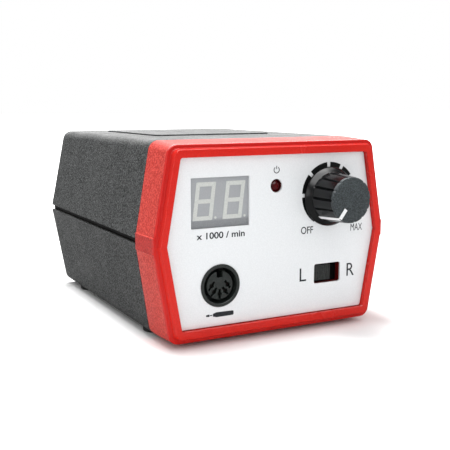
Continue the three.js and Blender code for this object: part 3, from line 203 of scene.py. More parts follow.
# Display and lamp
DISPLAY_HALF_SIZE = (12.5, 9.6)
DISPLAY_BACK = 10.96
FLANGE_HALF_SIZE = (13.0, 10.1)
FLANGE_DEPTHS = (2.98, 3.05)
DIGIT_PLACES = (-31.7, -18.9)
DIGIT_MIDDLE = 16.0
DIGIT_HALF_WIDTH = 4.15
DIGIT_HALF_HEIGHT = 7.3
DIGIT_LEAN = math.radians(6.9)
BAR_WIDTH = 1.6
BAR_GAP = 0.04
BAR_FACE = 2.92
BAR_DEPTH = 0.3
POINT_PROFILE = ((0.0, 2.92), (0.48, 2.92), (0.48, 3.2), (0.0, 3.2))
POINT_PLACE = (4.7, 9.5)
LENS_RADIUS = 2.6
LENS_TIP = 2.36
LENS_STEPS = 10
LENS_REAR = ((2.6, 9.96), (2.95, 9.96), (2.95, 10.96), (0.0, 10.96))
LENS_COLLAR = ((2.4, 2.99), (3.2, 2.99), (3.2, 3.05), (2.4, 3.05))

# Slide switch, from the button's middle at the left end of its way
SLIDE_REST = 2.2
BUTTON_SIDES = (-3.8, 4.6)
BUTTON_HALF_HEIGHT = 3.3
BUTTON_DEPTHS = (3.26, 5.98)
RIBS = 8
RIB_START = -3.7
RIB_PITCH = 1.08
RIB_WIDTH = 0.6
RIB_HALF_HEIGHT = 3.2
RIB_DEPTHS = (3.06, 3.4)
SHUTTER_SIDES = (-9.15, 9.3)
SHUTTER_HALF_HEIGHT = 4.6
SHUTTER_DEPTHS = (5.86, 6.86)
LUG_HALF_SIZE = 1.8
LUG_DEPTHS = (6.76, 9.86)

# Handpiece socket: profile as (radius, depth), the insert and its slots
SOCKET_PROFILE = ((0.0, 9.16), (7.15, 9.16), (7.15, 1.8), (8.55, 1.8), (8.55, 2.14), (7.5, 2.14),
                  (7.5, 12.16), (0.0, 12.16))
INSERT_RADIUS = 5.65
INSERT_DEPTHS = (2.66, 9.06)
KEYWAY_HALF_WIDTH = 1.3
KEYWAY_FLOOR = 3.05
CONTACT_CIRCLE = 3.5
CONTACT_PITCH = 45.0
SLOT_SIDE = ((2.0, 0.45, 0.0), (0.85, 0.45, 0.0), (0.0, 1.15, 0.6), (-0.85, 0.45, 0.0), (-2.0, 0.45, 0.0))
SLOT_TURNS = (233.0, 233.0, 270.0, 307.0, 307.0)

# Rear panel and its fittings
REAR_PANEL_INSIDE = 127.6
REAR_PANEL_OUTSIDE = 130.1
REAR_SEAT = 130.2
VENT_SLOTS = 6
VENT_PITCH = 5.0
VENT_SLOT = (2.2, 18.0, 1.0)
INLET_HOLE = (21.1, 13.1, 0.3)
INLET_BODY = (20.5, 12.5, 0.6)
INLET_FLANGE = (30.0, 16.0, 2.0)
INLET_MOUTH = (16.2, 8.4, 3.9)
INLET_FRONT = 113.7
INLET_FACE = 132.2
MOUTH_FLOOR = 117.2
PRONG_OFFSET = 4.3
PRONG_PROFILE = ((0.0, 110.7), (1.2, 110.7), (1.2, 128.6), (1.05, 128.95), (0.7, 129.15), (0.0, 129.2))
FUSE_HOLE = 6.3
FUSE_HOLDER = ((4.3, 107.2), (4.3, 132.2), (7.5, 132.2), (7.5, REAR_SEAT), (6.0, REAR_SEAT), (6.0, 105.2),
               (0.0, 105.2), (0.0, 107.2))
FUSE_CAP = ((0.0, 132.4), (2.9, 132.4), (2.9, 123.5), (4.0, 123.5), (4.0, 132.5), (5.6, 132.5),
            (5.6, 137.1), (0.0, 137.1))
CAP_TOP = 137.0
CAP_GRIP_FOOT = 132.45
CAP_GRIP_INSIDE = 5.0
CAP_KNURLS = 24
KNURL_SHRINK = 0.955
CAP_SLOT_HALF_SIZE = (4.4, 0.6)
CAP_SLOT_DEPTH = 1.4
JACK_HOLE = 4.9
JACK_HALF_SIZE = (7.5, 6.5)
JACK_DEPTHS = (108.5, 127.5)
JACK_THROAT = ((0.0, 112.5), (3.25, 112.5), (3.25, 132.5), (4.6, 132.5), (4.6, 127.4), (0.0, 127.4))
NUT_HALF_WIDTH = 6.0
NUT_THICKNESS = 2.0
MODE_HOLE = (19.6, 13.4, 0.3)
MODE_BODY = (19.0, 12.8, 0.5)
MODE_FLANGE = (21.0, 15.0, 1.0)
MODE_MOUTH = (16.4, 10.2, 0.6)
MODE_FRONT = 117.2
MODE_RISE = 1.6
MODE_WELL = 5.0
ROCKER_SIDE = ((-7.6, -2.0), (0.0, -3.6), (7.6, -2.0), (7.6, 1.7), (4.0, 0.78), (0.0, 0.5), (-4.0, 0.78),
               (-7.6, 1.7))
ROCKER_HALF_WIDTH = 4.8
ROCKER_TIP = math.radians(9.0)

# Where a finish or a painted shade changes: depths behind the rim's front, and distances from a middle or
# an edge
BAND_GRAIN_DEPTHS = (2.9, 3.2)
LEDGE_SHADE_DEPTHS = (0.6, 1.8)
LOWER_HALF_SHIFT = 0.5
FACET_SHADE = 3.18
WINDOW_REACH = (40.0, 30.0)
DISPLAY_FOOT = (2.2, 4.0)

# Camera and light. The softbox is in metres.
CAMERA_PLACE = Vector((-163.06, -261.24, 52.96))
CAMERA_LENS = 62.54
CAMERA_SENSOR = 36.0
CAMERA_YAW = math.radians(27.96)
CAMERA_PITCH = math.radians(8.87)
ROOM_LIGHT = 1.26
SOFTBOX_PLACE = Vector((-0.12, 0.15, 1.1))
SOFTBOX_SIZE = 0.35
SOFTBOX_POWER = 15.0
# Soft lights in what gloss reflects: direction, the cosines where each starts and is full, strength
MIRRORED_LIGHTS = (((0.46, 0.87, 0.25), 0.75, 0.98, 2.6), ((0.2, 0.0, 0.95), 0.8, 0.95, 6.0),
                   ((-0.1, -0.5, 0.8), 0.78, 0.92, 9.0), ((-0.85, -0.45, 0.0), 0.86, 0.98, 3.0))

# Roundness of rounded corners and turned pieces
CORNER_STEPS = 10
ROUND_STEPS = 64

MM = 0.001
MICRON = 0.000001
WHITE = (1.0, 1.0, 1.0, 1.0)
rim_low, rim_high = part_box("front_bezel")
SEAM_HEIGHT = (rim_low.z + rim_high.z) / 2
TO_ROW = Matrix.Translation((0.0, rim_low.y, SEAM_HEIGHT)) @ Matrix.Diagonal((MM, MM, MM, 1.0))


# Shaping helpers
def side_at(height, inset):
    """Half width of the case at a height, drawn in by an inset."""
    return MID_HALF_WIDTH - inset / LEAN_COSINE - abs(height) * LEAN


def case_corners(inset, facet, corner, rise=0.0):
    """Corners of the case's cross-section as (x, z, corner radius), counter-clockwise.

    At mid height the kink ends in an upright facet, which may stand proud of the sides.
    """
    top = HALF_HEIGHT - inset
    narrow = side_at(top, inset)
    foot = facet + max(rise, THIN_FACET)
    kink = [(side_at(foot, inset), -foot), (side_at(facet, inset) + rise, -facet)]
    kink += [(x, -z) for x, z in reversed(kink)]
    right = [(x, z, 0.0) for x, z in kink]
    left = [(-x, -z, 0.0) for x, z in kink]
    tops = [(narrow, top, corner), (-narrow, top, corner)]
    return right + tops + left + [(-x, -z, radius) for x, z, radius in tops]


def inner_corner(inset):
    return max(CASE_CORNER - inset, SMALLEST_CORNER)


def ramp(value, start, end):
    """0 up to start, 1 from end on, and even in between."""
    return min(max((value - start) / (end - start), 0.0), 1.0)


def flat(place):
    return (place.x, place.z)


def box_corners(width, height, corner, centre=(0.0, 0.0)):
    x, z = width / 2, height / 2
    return [(centre[0] + sx * x, centre[1] + sz * z, corner)
            for sx, sz in ((1, -1), (1, 1), (-1, 1), (-1, -1))]


def outline(bm, corners, y, keep_face=False, steps=CORNER_STEPS):
    """A closed loop at depth y. The vertex bevel rounds each corner to its radius."""
    before = set(bm.faces)
    verts = [bm.verts.new((x, y, z)) for x, z, _ in corners]
    bm.faces.new(verts)
    points = [Vector((x, z)) for x, z, _ in corners]
    for i, vert in enumerate(verts):
        radius = corners[i][2]
        if radius <= 0.0:
            continue
        one = points[i - 1] - points[i]
        other = points[(i + 1) % len(points)] - points[i]
        reach = radius / math.tan(one.angle(other) / 2)
        bmesh.ops.bevel(bm, geom=[vert], offset=reach, offset_type="OFFSET", segments=steps,
                        profile=0.5, affect="VERTICES", material=-1, clamp_overlap=False)
    face = next(iter(set(bm.faces) - before))
    if keep_face:
        return face
    edges = list(face.edges)
    bmesh.ops.delete(bm, geom=[face], context="FACES_ONLY")
    return edges


def circle(bm, radius, y, centre=(0.0, 0.0), steps=ROUND_STEPS):
    """A closed round loop at depth y."""
    place = Matrix.Translation((centre[0], y, centre[1])) @ Matrix.Rotation(math.pi / 2, 4, "X")
    made = bmesh.ops.create_circle(bm, cap_ends=False, radius=radius, segments=steps, matrix=place)
    return list({edge for vert in made["verts"] for edge in vert.link_edges})


def chain(bm, loops):
    """Skins one loop to the next."""
    for one, other in zip(loops, loops[1:]):
        bmesh.ops.bridge_loops(bm, edges=one + other)


def cap(bm, loop):
    bmesh.ops.edgeloop_fill(bm, edges=loop)


def pierced(bm, loops):
    """Fills a flat face between an outer loop and the holes in it."""
    loose = [edge for loop in loops for edge in loop]
    made = bmesh.ops.triangle_fill(bm, use_beauty=True, use_dissolve=False, edges=loose)
    return [item for item in made["geom"] if isinstance(item, bmesh.types.BMFace)]


def pushed(bm, faces, vector):
    """Extrudes faces along a vector and returns what moved."""
    made = bmesh.ops.extrude_face_region(bm, geom=faces)
    moved = [item for item in made["geom"] if isinstance(item, bmesh.types.BMVert)]
    bmesh.ops.translate(bm, vec=vector, verts=moved)
    return made["geom"]


def pierced_plate(bm, loops, thickness):
    pushed(bm, pierced(bm, loops), (0.0, thickness, 0.0))


def skinned(bm, loops):
    """Skins the loops one to the next and closes both ends."""
    chain(bm, loops)
    cap(bm, loops[0])
    cap(bm, loops[-1])


def quarter(start, end, steps=4, start_first=True):
    """Stations (inset, y) on a quarter round between two points, the second left out."""
    stations = []
    for step in range(steps):
        angle = math.pi / 2 * step / steps
        across, along = math.sin(angle), 1 - math.cos(angle)
        if not start_first:
            across, along = 1 - math.cos(angle), math.sin(angle)
        stations.append((start[0] + (end[0] - start[0]) * across, start[1] + (end[1] - start[1]) * along))
    return stations


def turned(bm, profile, axis="Y", closed=False, steps=ROUND_STEPS, at=(0.0, 0.0, 0.0)):
    """Spins a profile of (radius, distance along the axis) all the way round."""
    before = set(bm.verts)
    along_z = axis == "Z"
    verts = [bm.verts.new((r, 0.0, d) if along_z else (r, d, 0.0)) for r, d in profile]
    pairs = list(zip(verts, verts[1:])) + ([(verts[-1], verts[0])] if closed else [])
    edges = [bm.edges.new(pair) for pair in pairs]
    bmesh.ops.spin(bm, geom=verts + edges, cent=(0, 0, 0), axis=(0, 0, 1) if along_z else (0, 1, 0),
                   angle=2 * math.pi, steps=steps, use_merge=True)
    made = [vert for vert in bm.verts if vert not in before]
    bmesh.ops.translate(bm, vec=at, verts=made)
    return made


def block(bm, low, high, soft=0.0):
    """A box between two corners, its edges rounded."""
    size = Vector(high) - Vector(low)
    centre = (Vector(high) + Vector(low)) / 2
    made = bmesh.ops.create_cube(bm, size=1.0, matrix=Matrix.Translation(centre)
                                 @ Matrix.Diagonal((size.x, size.y, size.z, 1.0)))
    if soft > 0.0:
        edges = list({edge for vert in made["verts"] for edge in vert.link_edges})
        bmesh.ops.bevel(bm, geom=edges, offset=soft, offset_type="OFFSET", segments=3,
                        profile=0.5, affect="EDGES", material=-1)
    return made["verts"]


def centred_block(bm, centre, half_size, depths, soft=0.0):
    x, z = half_size
    front, back = depths
    block(bm, (centre.x - x, front, centre.z - z), (centre.x + x, back, centre.z + z), soft)


def dress(name, bm, body, finish, stands_for=(), sharp=35.0, soft=0.0):
    """Turns a shape into a piece of the object: placed, shaded, finished and riding on its body."""
    bmesh.ops.remove_doubles(bm, verts=bm.verts, dist=0.002)
    bmesh.ops.recalc_face_normals(bm, faces=bm.faces)
    bmesh.ops.transform(bm, matrix=TO_ROW, verts=bm.verts)
    for face in bm.faces:
        face.smooth = True
    if soft <= 0.0:
        for edge in bm.edges:
            edge.smooth = edge.calc_face_angle(0.0) < math.radians(sharp)
    mesh = bpy.data.meshes.new(name)
    bm.to_mesh(mesh)
    bm.free()
    piece = bpy.data.objects.new(name, mesh)
    bpy.context.scene.collection.objects.link(piece)
    mesh.materials.append(FINISHES[finish])
    if soft > 0.0:
        edge_round = piece.modifiers.new("soft_edges", "BEVEL")
        edge_round.width = soft * MM
        edge_round.segments = 3
        edge_round.limit_method = "ANGLE"
        edge_round.angle_limit = math.radians(sharp)
        edge_round.harden_normals = True
    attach(piece, body)
    if stands_for:
        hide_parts(*stands_for)
    return piece


# Finishes: help with shader nodes
def feed(tree, value, socket):
    """Gives a socket a plain value or another node's output."""
    if isinstance(value, bpy.types.NodeSocket):
        tree.links.new(value, socket)
    else:
        socket.default_value = value


def add_math(tree, operation, one, other, clamp=False):
    node = tree.nodes.new("ShaderNodeMath")
    node.operation = operation
    node.use_clamp = clamp
    feed(tree, one, node.inputs[0])
    feed(tree, other, node.inputs[1])
    return node.outputs[0]


def near(tree, value, reach):
    """1 where a value is less than a reach away from zero, else 0."""
    return add_math(tree, "LESS_THAN", add_math(tree, "ABSOLUTE", value, 0.0), reach)


def add_range(tree, value, low, high, to_low=0.0, to_high=1.0):
    node = tree.nodes.new("ShaderNodeMapRange")
    node.interpolation_type = "SMOOTHSTEP"
    tree.links.new(value, node.inputs["Value"])
    for label, number in zip(("From Min", "From Max", "To Min", "To Max"), (low, high, to_low, to_high)):
        node.inputs[label].default_value = number
    return node.outputs["Result"]


def mixed(tree, mask, one, other):
    """A colour that changes over the surface between two."""
    node = tree.nodes.new("ShaderNodeMix")
    node.data_type = "RGBA"
    feed(tree, mask, node.inputs["Factor"])
    feed(tree, one, node.inputs[6])
    feed(tree, other, node.inputs[7])
    return node.outputs[2]


def axes(tree, vector):
    split = tree.nodes.new("ShaderNodeSeparateXYZ")
    tree.links.new(vector, split.inputs[0])
    return split.outputs


def noise(tree, vector, scale, detail, rough=0.5):
    node = tree.nodes.new("ShaderNodeTexNoise")
    node.inputs["Detail"].default_value = detail
    node.inputs["Roughness"].default_value = rough
    feed(tree, vector, node.inputs["Vector"])
    feed(tree, scale, node.inputs["Scale"])
    return node.outputs["Fac"]


def effect_group(name, numbers, results):
    """A shader node group for a place on the object: the group, what it is given and its results."""
    group = bpy.data.node_groups.new(name, "ShaderNodeTree")
    group.interface.new_socket("Vector", in_out="INPUT", socket_type="NodeSocketVector")
    for label, value in numbers.items():
        socket = group.interface.new_socket(label, in_out="INPUT", socket_type="NodeSocketFloat")
        socket.default_value = value
    for label in results:
        group.interface.new_socket(label, in_out="OUTPUT", socket_type="NodeSocketFloat")
    return group, group.nodes.new("NodeGroupInput").outputs, group.nodes.new("NodeGroupOutput").inputs


def placed_group(tree, group, where, **values):
    node = tree.nodes.new("ShaderNodeGroup")
    node.node_tree = group
    tree.links.new(where, node.inputs["Vector"])
    for label, value in values.items():
        node.inputs[label.replace("_", " ")].default_value = value
    return node.outputs


# Finishes: effects that several of them share
def make_spark_grain():
    """The pebbled skin of a spark-eroded mould: a height and a speckle."""
    group, given, results = effect_group("spark_grain", {"Grains per metre": 1500.0}, ("Height", "Speckle"))
    cells = group.nodes.new("ShaderNodeTexVoronoi")
    cells.feature = "SMOOTH_F1"
    feed(group, given["Vector"], cells.inputs["Vector"])
    feed(group, given["Grains per metre"], cells.inputs["Scale"])
    pebbles = add_math(group, "MULTIPLY", cells.outputs["Distance"], -0.6)
    cloud = noise(group, given["Vector"], given["Grains per metre"], detail=3.0, rough=0.6)
    height = add_math(group, "ADD", cloud, pebbles)
    feed(group, height, results["Height"])
    feed(group, add_range(group, height, 0.12, 0.42), results["Speckle"])
    return group


def make_handling():
    """Slow, cloudy change of gloss from handling."""
    group, given, results = effect_group("handling", {"Patches per metre": 45.0, "Low": 0.3, "High": 0.45},
                                         ("Value",))
    cloud = noise(group, given["Vector"], given["Patches per metre"], detail=5.0, rough=0.62)
    span = add_math(group, "SUBTRACT", given["High"], given["Low"])
    share = add_math(group, "MULTIPLY", add_range(group, cloud, 0.3, 0.7), span)
    feed(group, add_math(group, "ADD", share, given["Low"]), results["Value"])
    return group


def make_dust_and_sheen():
    """A paler film on what faces up, broken by a fine noise: partly settled dust, partly painted sheen."""
    group, given, results = effect_group("dust_and_sheen_film", {"Amount": 0.2}, ("Mask",))
    facing = axes(group, group.nodes.new("ShaderNodeNewGeometry").outputs["Normal"])
    up = add_range(group, facing["Z"], 0.3, 1.0)
    cloud = noise(group, given["Vector"], scale=160.0, detail=6.0)
    broken = add_range(group, cloud, 0.35, 0.75, 0.4, 1.0)
    dust_and_sheen_mask = add_math(group, "MULTIPLY", up, broken)
    feed(group, add_math(group, "MULTIPLY", dust_and_sheen_mask, given["Amount"], clamp=True), results["Mask"])
    return group


SPARK_GRAIN = make_spark_grain()
HANDLING = make_handling()
DUST_AND_SHEEN = make_dust_and_sheen()


def linear(red, green, blue):
    """The base colour that the bright room shows as a given screen colour, 0 to 255."""
    def channel(value):
        value /= 255.0
        light = value / 12.92 if value <= 0.04045 else ((value + 0.055) / 1.055) ** 2.4
        return light / ROOM_LIGHT
    return (channel(red), channel(green), channel(blue), 1.0)


def start_finish(name, metallic=0.0, coat=0.0, mirror=0.5):
    finish = bpy.data.materials.new(name)
    finish.use_nodes = True
    tree = finish.node_tree
    surface = tree.nodes["Principled BSDF"].inputs
    surface["Metallic"].default_value = metallic
    surface["Coat Weight"].default_value = coat
    surface["Coat Roughness"].default_value = 0.08
    surface["Specular IOR Level"].default_value = mirror
    return finish, tree, surface, tree.nodes.new("ShaderNodeTexCoord").outputs["Object"]


def end_finish(tree, surface, colour, rough, height, depth):
    """Joins colour, roughness and a bump of some micrometres to a finish."""
    bump = tree.nodes.new("ShaderNodeBump")
    bump.inputs["Strength"].default_value = 1.0
    bump.inputs["Distance"].default_value = depth * MICRON
    feed(tree, height, bump.inputs["Height"])
    feed(tree, bump.outputs["Normal"], surface["Normal"])
    feed(tree, colour, surface["Base Color"])
    feed(tree, rough, surface["Roughness"])


def moulded(name, dark, light, rough, grains, depth, mirror=0.5, dust_and_sheen=0.0, coat=0.0):
    """Moulded plastic: grain, speckle, handled gloss, and a paler film on what faces up, partly dust and
    partly painted sheen.
    """
    finish, tree, surface, where = start_finish(name, coat=coat, mirror=mirror)
    grain = placed_group(tree, SPARK_GRAIN, where, Grains_per_metre=grains)
    colour = mixed(tree, grain["Speckle"], linear(*dark), linear(*light))
    # Paler on what faces up: partly settled dust, partly painted sheen on the tops.
    if dust_and_sheen > 0.0:
        dust_and_sheen_mask = placed_group(tree, DUST_AND_SHEEN, where, Amount=dust_and_sheen)
        colour = mixed(tree, dust_and_sheen_mask["Mask"], colour, linear(150, 150, 148))
    handled = placed_group(tree, HANDLING, where, Low=rough[0], High=rough[1])
    end_finish(tree, surface, colour, handled["Value"], grain["Height"], depth)
    return finish


def metal(name, dark, light, rough, scratches=400.0):
    """Plated or bare metal with fine drawn lines."""
    finish, tree, surface, where = start_finish(name, metallic=1.0)
    stretch = tree.nodes.new("ShaderNodeMapping")
    stretch.inputs["Scale"].default_value = (1.0, 0.12, 1.0)
    tree.links.new(where, stretch.inputs["Vector"])
    lines = noise(tree, stretch.outputs["Vector"], scratches, detail=6.0)
    colour = mixed(tree, lines, linear(*dark), linear(*light))
    handled = placed_group(tree, HANDLING, where, Low=rough[0], High=rough[1])
    end_finish(tree, surface, colour, handled["Value"], lines, depth=10.0)
    return finish


def make_display_grey():
    """The display's face: grey paint that darkens towards its lower edge."""
    finish, tree, surface, where = start_finish("display_paint")
    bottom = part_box("display_module")[0].z
    foot = add_range(tree, axes(tree, where)["Z"], *[bottom + height * MM for height in DISPLAY_FOOT])
    colour = mixed(tree, foot, linear(128, 131, 134), linear(160, 163, 166))
    grain = placed_group(tree, SPARK_GRAIN, where, Grains_per_metre=2600.0)
    sparks = add_math(tree, "MULTIPLY", grain["Speckle"], 0.12)
    colour = mixed(tree, sparks, colour, linear(190, 192, 194))
    handled = placed_group(tree, HANDLING, where, Low=0.42, High=0.6)
    end_finish(tree, surface, colour, handled["Value"], grain["Height"], depth=10.0)
    return finish


def behind_rim(*depths):
    """Places along y, in metres, from depths behind the rim's front."""
    return [rim_low.y + depth * MM for depth in depths]


def window_wall_shade(tree, place, off_middle):
    """Where the bezel's wall shows in the windows only: the mask of its painted shade."""
    deep = add_math(tree, "GREATER_THAN", place["Y"], *behind_rim(PANEL_BACK + 0.01))
    across, up = [reach * MM for reach in WINDOW_REACH]
    inside = add_math(tree, "MULTIPLY", near(tree, place["X"], across), near(tree, off_middle, up))
    return add_math(tree, "MULTIPLY", deep, inside)


def make_bezel_red():
    """Red plastic: polished on the rim and the ledge behind it, an orange-peel grain on the band. Painted
    shade darkens the ledge, the facet at mid height and the wall seen in the windows; the band's paler pink
    is partly a painted sheen.
    """
    finish, tree, surface, where = start_finish("bezel_red", mirror=0.3)
    place = axes(tree, where)
    off_middle = add_math(tree, "SUBTRACT", place["Z"], SEAM_HEIGHT)
    below = add_math(tree, "LESS_THAN", off_middle, 0.0)
    shift = add_math(tree, "MULTIPLY", below, LOWER_HALF_SHIFT * MM)
    depth = add_math(tree, "SUBTRACT", place["Y"], shift)
    band = add_range(tree, depth, *behind_rim(*BAND_GRAIN_DEPTHS))
    ledge = add_range(tree, depth, *behind_rim(*LEDGE_SHADE_DEPTHS))
    grain = placed_group(tree, SPARK_GRAIN, where, Grains_per_metre=1500.0)
    polished = mixed(tree, grain["Speckle"], linear(210, 28, 15), linear(216, 32, 19))
    # Painted shade on the rim's outer wall and the ledge, darker further back.
    shaded = mixed(tree, ledge, polished, linear(200, 20, 12))
    # The band's grain, paler pink than the rim: partly grain, partly a painted sheen.
    pebbled_with_sheen = mixed(tree, grain["Speckle"], linear(180, 34, 22), linear(224, 76, 64))
    # Painted shade: the upright facet at mid height takes a darker red than the band.
    shaded_facet = mixed(tree, grain["Speckle"], linear(166, 22, 16), linear(206, 46, 38))
    facet = near(tree, off_middle, FACET_SHADE * MM)
    outside = mixed(tree, band, shaded, mixed(tree, facet, pebbled_with_sheen, shaded_facet))
    # Painted shade: the wall seen through the windows is darkened to a deep red.
    colour = mixed(tree, window_wall_shade(tree, place, off_middle), outside, linear(96, 8, 8))
    handled = placed_group(tree, HANDLING, where, Low=0.2, High=0.28)
    rough = add_math(tree, "ADD", handled["Value"], add_math(tree, "MULTIPLY", band, 0.28))
    height = add_math(tree, "MULTIPLY", grain["Height"], add_range(tree, band, 0.0, 1.0, 0.05, 1.0))
    end_finish(tree, surface, colour, rough, height, depth=120.0)
    return finish


# Plastics: name, dark and light colour, roughness, grains per metre, grain depth in micrometres,
# then mirror, dust with painted sheen, and coat where they differ from what is usual
PLASTICS = (
    ("spark_black", (2, 3, 3), (88, 90, 90), (0.5, 0.62), 1700.0, 220.0, 0.25, 0.3),
    ("pad_black", (28, 30, 31), (76, 78, 79), (0.55, 0.68), 2400.0, 120.0, 0.35, 0.35),
    # Near black, almost without gloss: painted shade in the seam's gap.
    ("seam_black", (6, 6, 6), (10, 10, 10), (0.5, 0.6), 1500.0, 8.0, 0.05),
    ("panel_white", (232, 235, 237), (238, 241, 243), (0.42, 0.52), 2600.0, 8.0),
    ("knob_gloss", (6, 7, 8), (12, 14, 16), (0.14, 0.22), 1500.0, 6.0, 0.22),
    ("knob_matte", (30, 36, 38), (66, 74, 77), (0.5, 0.6), 2600.0, 50.0, 0.4),
    ("slider_grey", (26, 29, 28), (42, 46, 44), (0.4, 0.5), 2600.0, 20.0),
    ("satin_black", (16, 17, 18), (28, 30, 31), (0.32, 0.45), 2200.0, 20.0),
    ("socket_black", (30, 35, 33), (44, 49, 47), (0.3, 0.42), 2600.0, 12.0, 0.35),
    ("foot_rubber", (12, 12, 12), (24, 24, 24), (0.7, 0.85), 2600.0, 30.0, 0.5, 0.2),
    ("paint_white", (232, 234, 236), (244, 245, 246), (0.35, 0.45), 2400.0, 10.0),
    ("print_grey", (34, 38, 42), (46, 50, 54), (0.4, 0.5), 3000.0, 4.0, 0.2),
    ("print_black", (6, 8, 8), (14, 16, 16), (0.4, 0.5), 3000.0, 4.0, 0.15),
    ("segment_white", (196, 200, 196), (206, 209, 205), (0.35, 0.5), 2600.0, 8.0),
    ("lamp_red", (62, 2, 6), (78, 4, 8), (0.08, 0.16), 900.0, 4.0, 0.18),
    ("board_green", (24, 84, 48), (34, 104, 60), (0.3, 0.45), 1200.0, 10.0),
    ("coil_tape", (196, 140, 44), (216, 164, 66), (0.35, 0.5), 700.0, 30.0),
    ("wire_grey", (120, 123, 127), (142, 145, 149), (0.4, 0.55), 1500.0, 10.0),
    ("fuse_glass", (205, 212, 214), (222, 228, 230), (0.05, 0.1), 500.0, 2.0, 0.5, 0.0, 1.0),
)
# Metals: name, dark and light colour, roughness, then scratches per metre where they are finer
METALS = (
    ("core_steel", (92, 92, 94), (128, 128, 130), (0.4, 0.55), 1500.0),
    ("zinc_steel", (150, 152, 156), (196, 198, 202), (0.24, 0.38)),
    ("dark_contact", (20, 19, 18), (34, 32, 30), (0.3, 0.45)),
    ("bright_brass", (176, 146, 84), (214, 186, 120), (0.22, 0.34)),
    ("satin_aluminium", (176, 178, 180), (206, 208, 210), (0.3, 0.42)),
)
FINISHES = {row[0]: moulded(*row) for row in PLASTICS}
FINISHES.update({row[0]: metal(*row) for row in METALS})
FINISHES.update(display_paint=make_display_grey(), bezel_red=make_bezel_red())

NODE_FINISH = {
    "shell_plastic": "spark_black", "red_plastic": "bezel_red", "panel_white": "panel_white",
    "black_plastic": "satin_black", "knob_plastic": "knob_gloss", "knob_face": "knob_matte",
    "pointer_white": "paint_white", "foot_rubber": "foot_rubber", "steel": "zinc_steel",
    "core_steel": "core_steel", "brass": "bright_brass", "aluminium": "satin_aluminium",
    "board": "board_green", "display_grey": "display_paint", "lamp_red": "lamp_red",
    "coil": "coil_tape", "fuse_glass": "fuse_glass", "wire": "wire_grey",
}
for part in frame["record"]["subparts"]:
    node = frame["nodes"][part["node"]]
    node.data.materials.clear()
    node.data.materials.append(FINISHES[NODE_FINISH[part["material_slot"]]])
for number in range(len(SLOT_TURNS)):
    frame["nodes"][f"socket_contact_{number + 1}"].material_slots[0].material = FINISHES["dark_contact"]


# Case shells
def shell_section(upper, outside, inside):
    """Corners of one shell's cross-section: an arch whose ends stop at the seam.

    The upper shell's ends are rebated for the tongue that rises from the lower one.
    """
    skin = TONGUE_INSET - SLIP if upper else (outside + inside) / 2
    step = TONGUE_TOP + SLIP if upper else SEAM_HALF
    top = HALF_HEIGHT - outside
    ceiling = HALF_HEIGHT - inside
    right = [(side_at(step, inside), step, 0.0), (side_at(step, skin), step, 0.0),
             (side_at(SEAM_HALF, skin), SEAM_HALF, 0.0), (side_at(SEAM_HALF, outside), SEAM_HALF, 0.0),
             (side_at(top, outside), top, CASE_CORNER)]
    under = (side_at(ceiling, inside), ceiling, inner_corner(inside))
    if not upper:
        right.pop(1)
    arch = right + [(-x, z, radius) for x, z, radius in reversed(right)]
    arch += [(-under[0], under[1], under[2]), under]
    side = 1.0 if upper else -1.0
    return [(x, side * z, radius) for x, z, radius in arch]


def shell_half(name, upper):
    """One shell, skinned from its front edge to the lip round the rear panel."""
    bm = bmesh.new()
    stations = [(EDGE_ROUND, WALL, SHELL_FRONT), (0.0, WALL, SHELL_FRONT + EDGE_ROUND),
                (0.0, WALL, REAR_SEAT), (0.0, LIP, REAR_SEAT + STEP_DEPTH), (0.0, LIP, CASE_REAR)]
    skinned(bm, [outline(bm, shell_section(upper, outside, inside), y) for outside, inside, y in stations])
    lean_rear(bm)
    lean_front(bm)
    drop_bottom(bm)
    add_bosses(bm, upper)
    stands_for = ["upper_shell" if upper else "lower_shell"]
    return dress(name, bm, "case", "spark_black", stands_for, sharp=40.0, soft=0.3)


def lean_rear(bm):
    """Leans the rear edge forward, away from the seam."""
    for vert in bm.verts:
        if vert.co.y > CASE_REAR - REAR_EDGE:
            lean = REAR_TOP_LEAN if vert.co.z > 0.0 else REAR_BOTTOM_LEAN
            vert.co.y -= lean * abs(vert.co.z) / HALF_HEIGHT


def lean_front(bm):
    """Leans the lower half of the line between band and shell back, away from the seam."""
    for vert in bm.verts:
        if abs(vert.co.y - SHELL_FRONT) < FRONT_EDGE and vert.co.z < 0.0:
            vert.co.y -= FRONT_LEAN * vert.co.z / HALF_HEIGHT


def drop_bottom(bm):
    """Lets the case's flat bottom hang a little below the rim."""
    for vert in bm.verts:
        vert.co.z -= BOTTOM_DROP * ramp(-vert.co.z, *DROP_HEIGHTS) * ramp(vert.co.y, *DROP_DEPTHS)


def add_bosses(bm, upper):
    """Hollow screw bosses that grow out of the shell inside."""
    side = 1 if upper else -1
    root = side * (HALF_HEIGHT - WALL / 2)
    mouth = side * BOSS_GAP
    end = mouth + BLIND_BORE if upper else root
    walls = [(SCREW_BORE, end), (SCREW_BORE, mouth), (BOSS_RADIUS, mouth), (BOSS_RADIUS, root)]
    profile = [(0.0, end)] + walls + [(0.0, root)] if upper else walls
    for _, y in FOOT_ROWS:
        for x in (-FOOT_X, FOOT_X):
            turned(bm, profile, axis="Z", closed=not upper, steps=32, at=(x, y, 0.0))


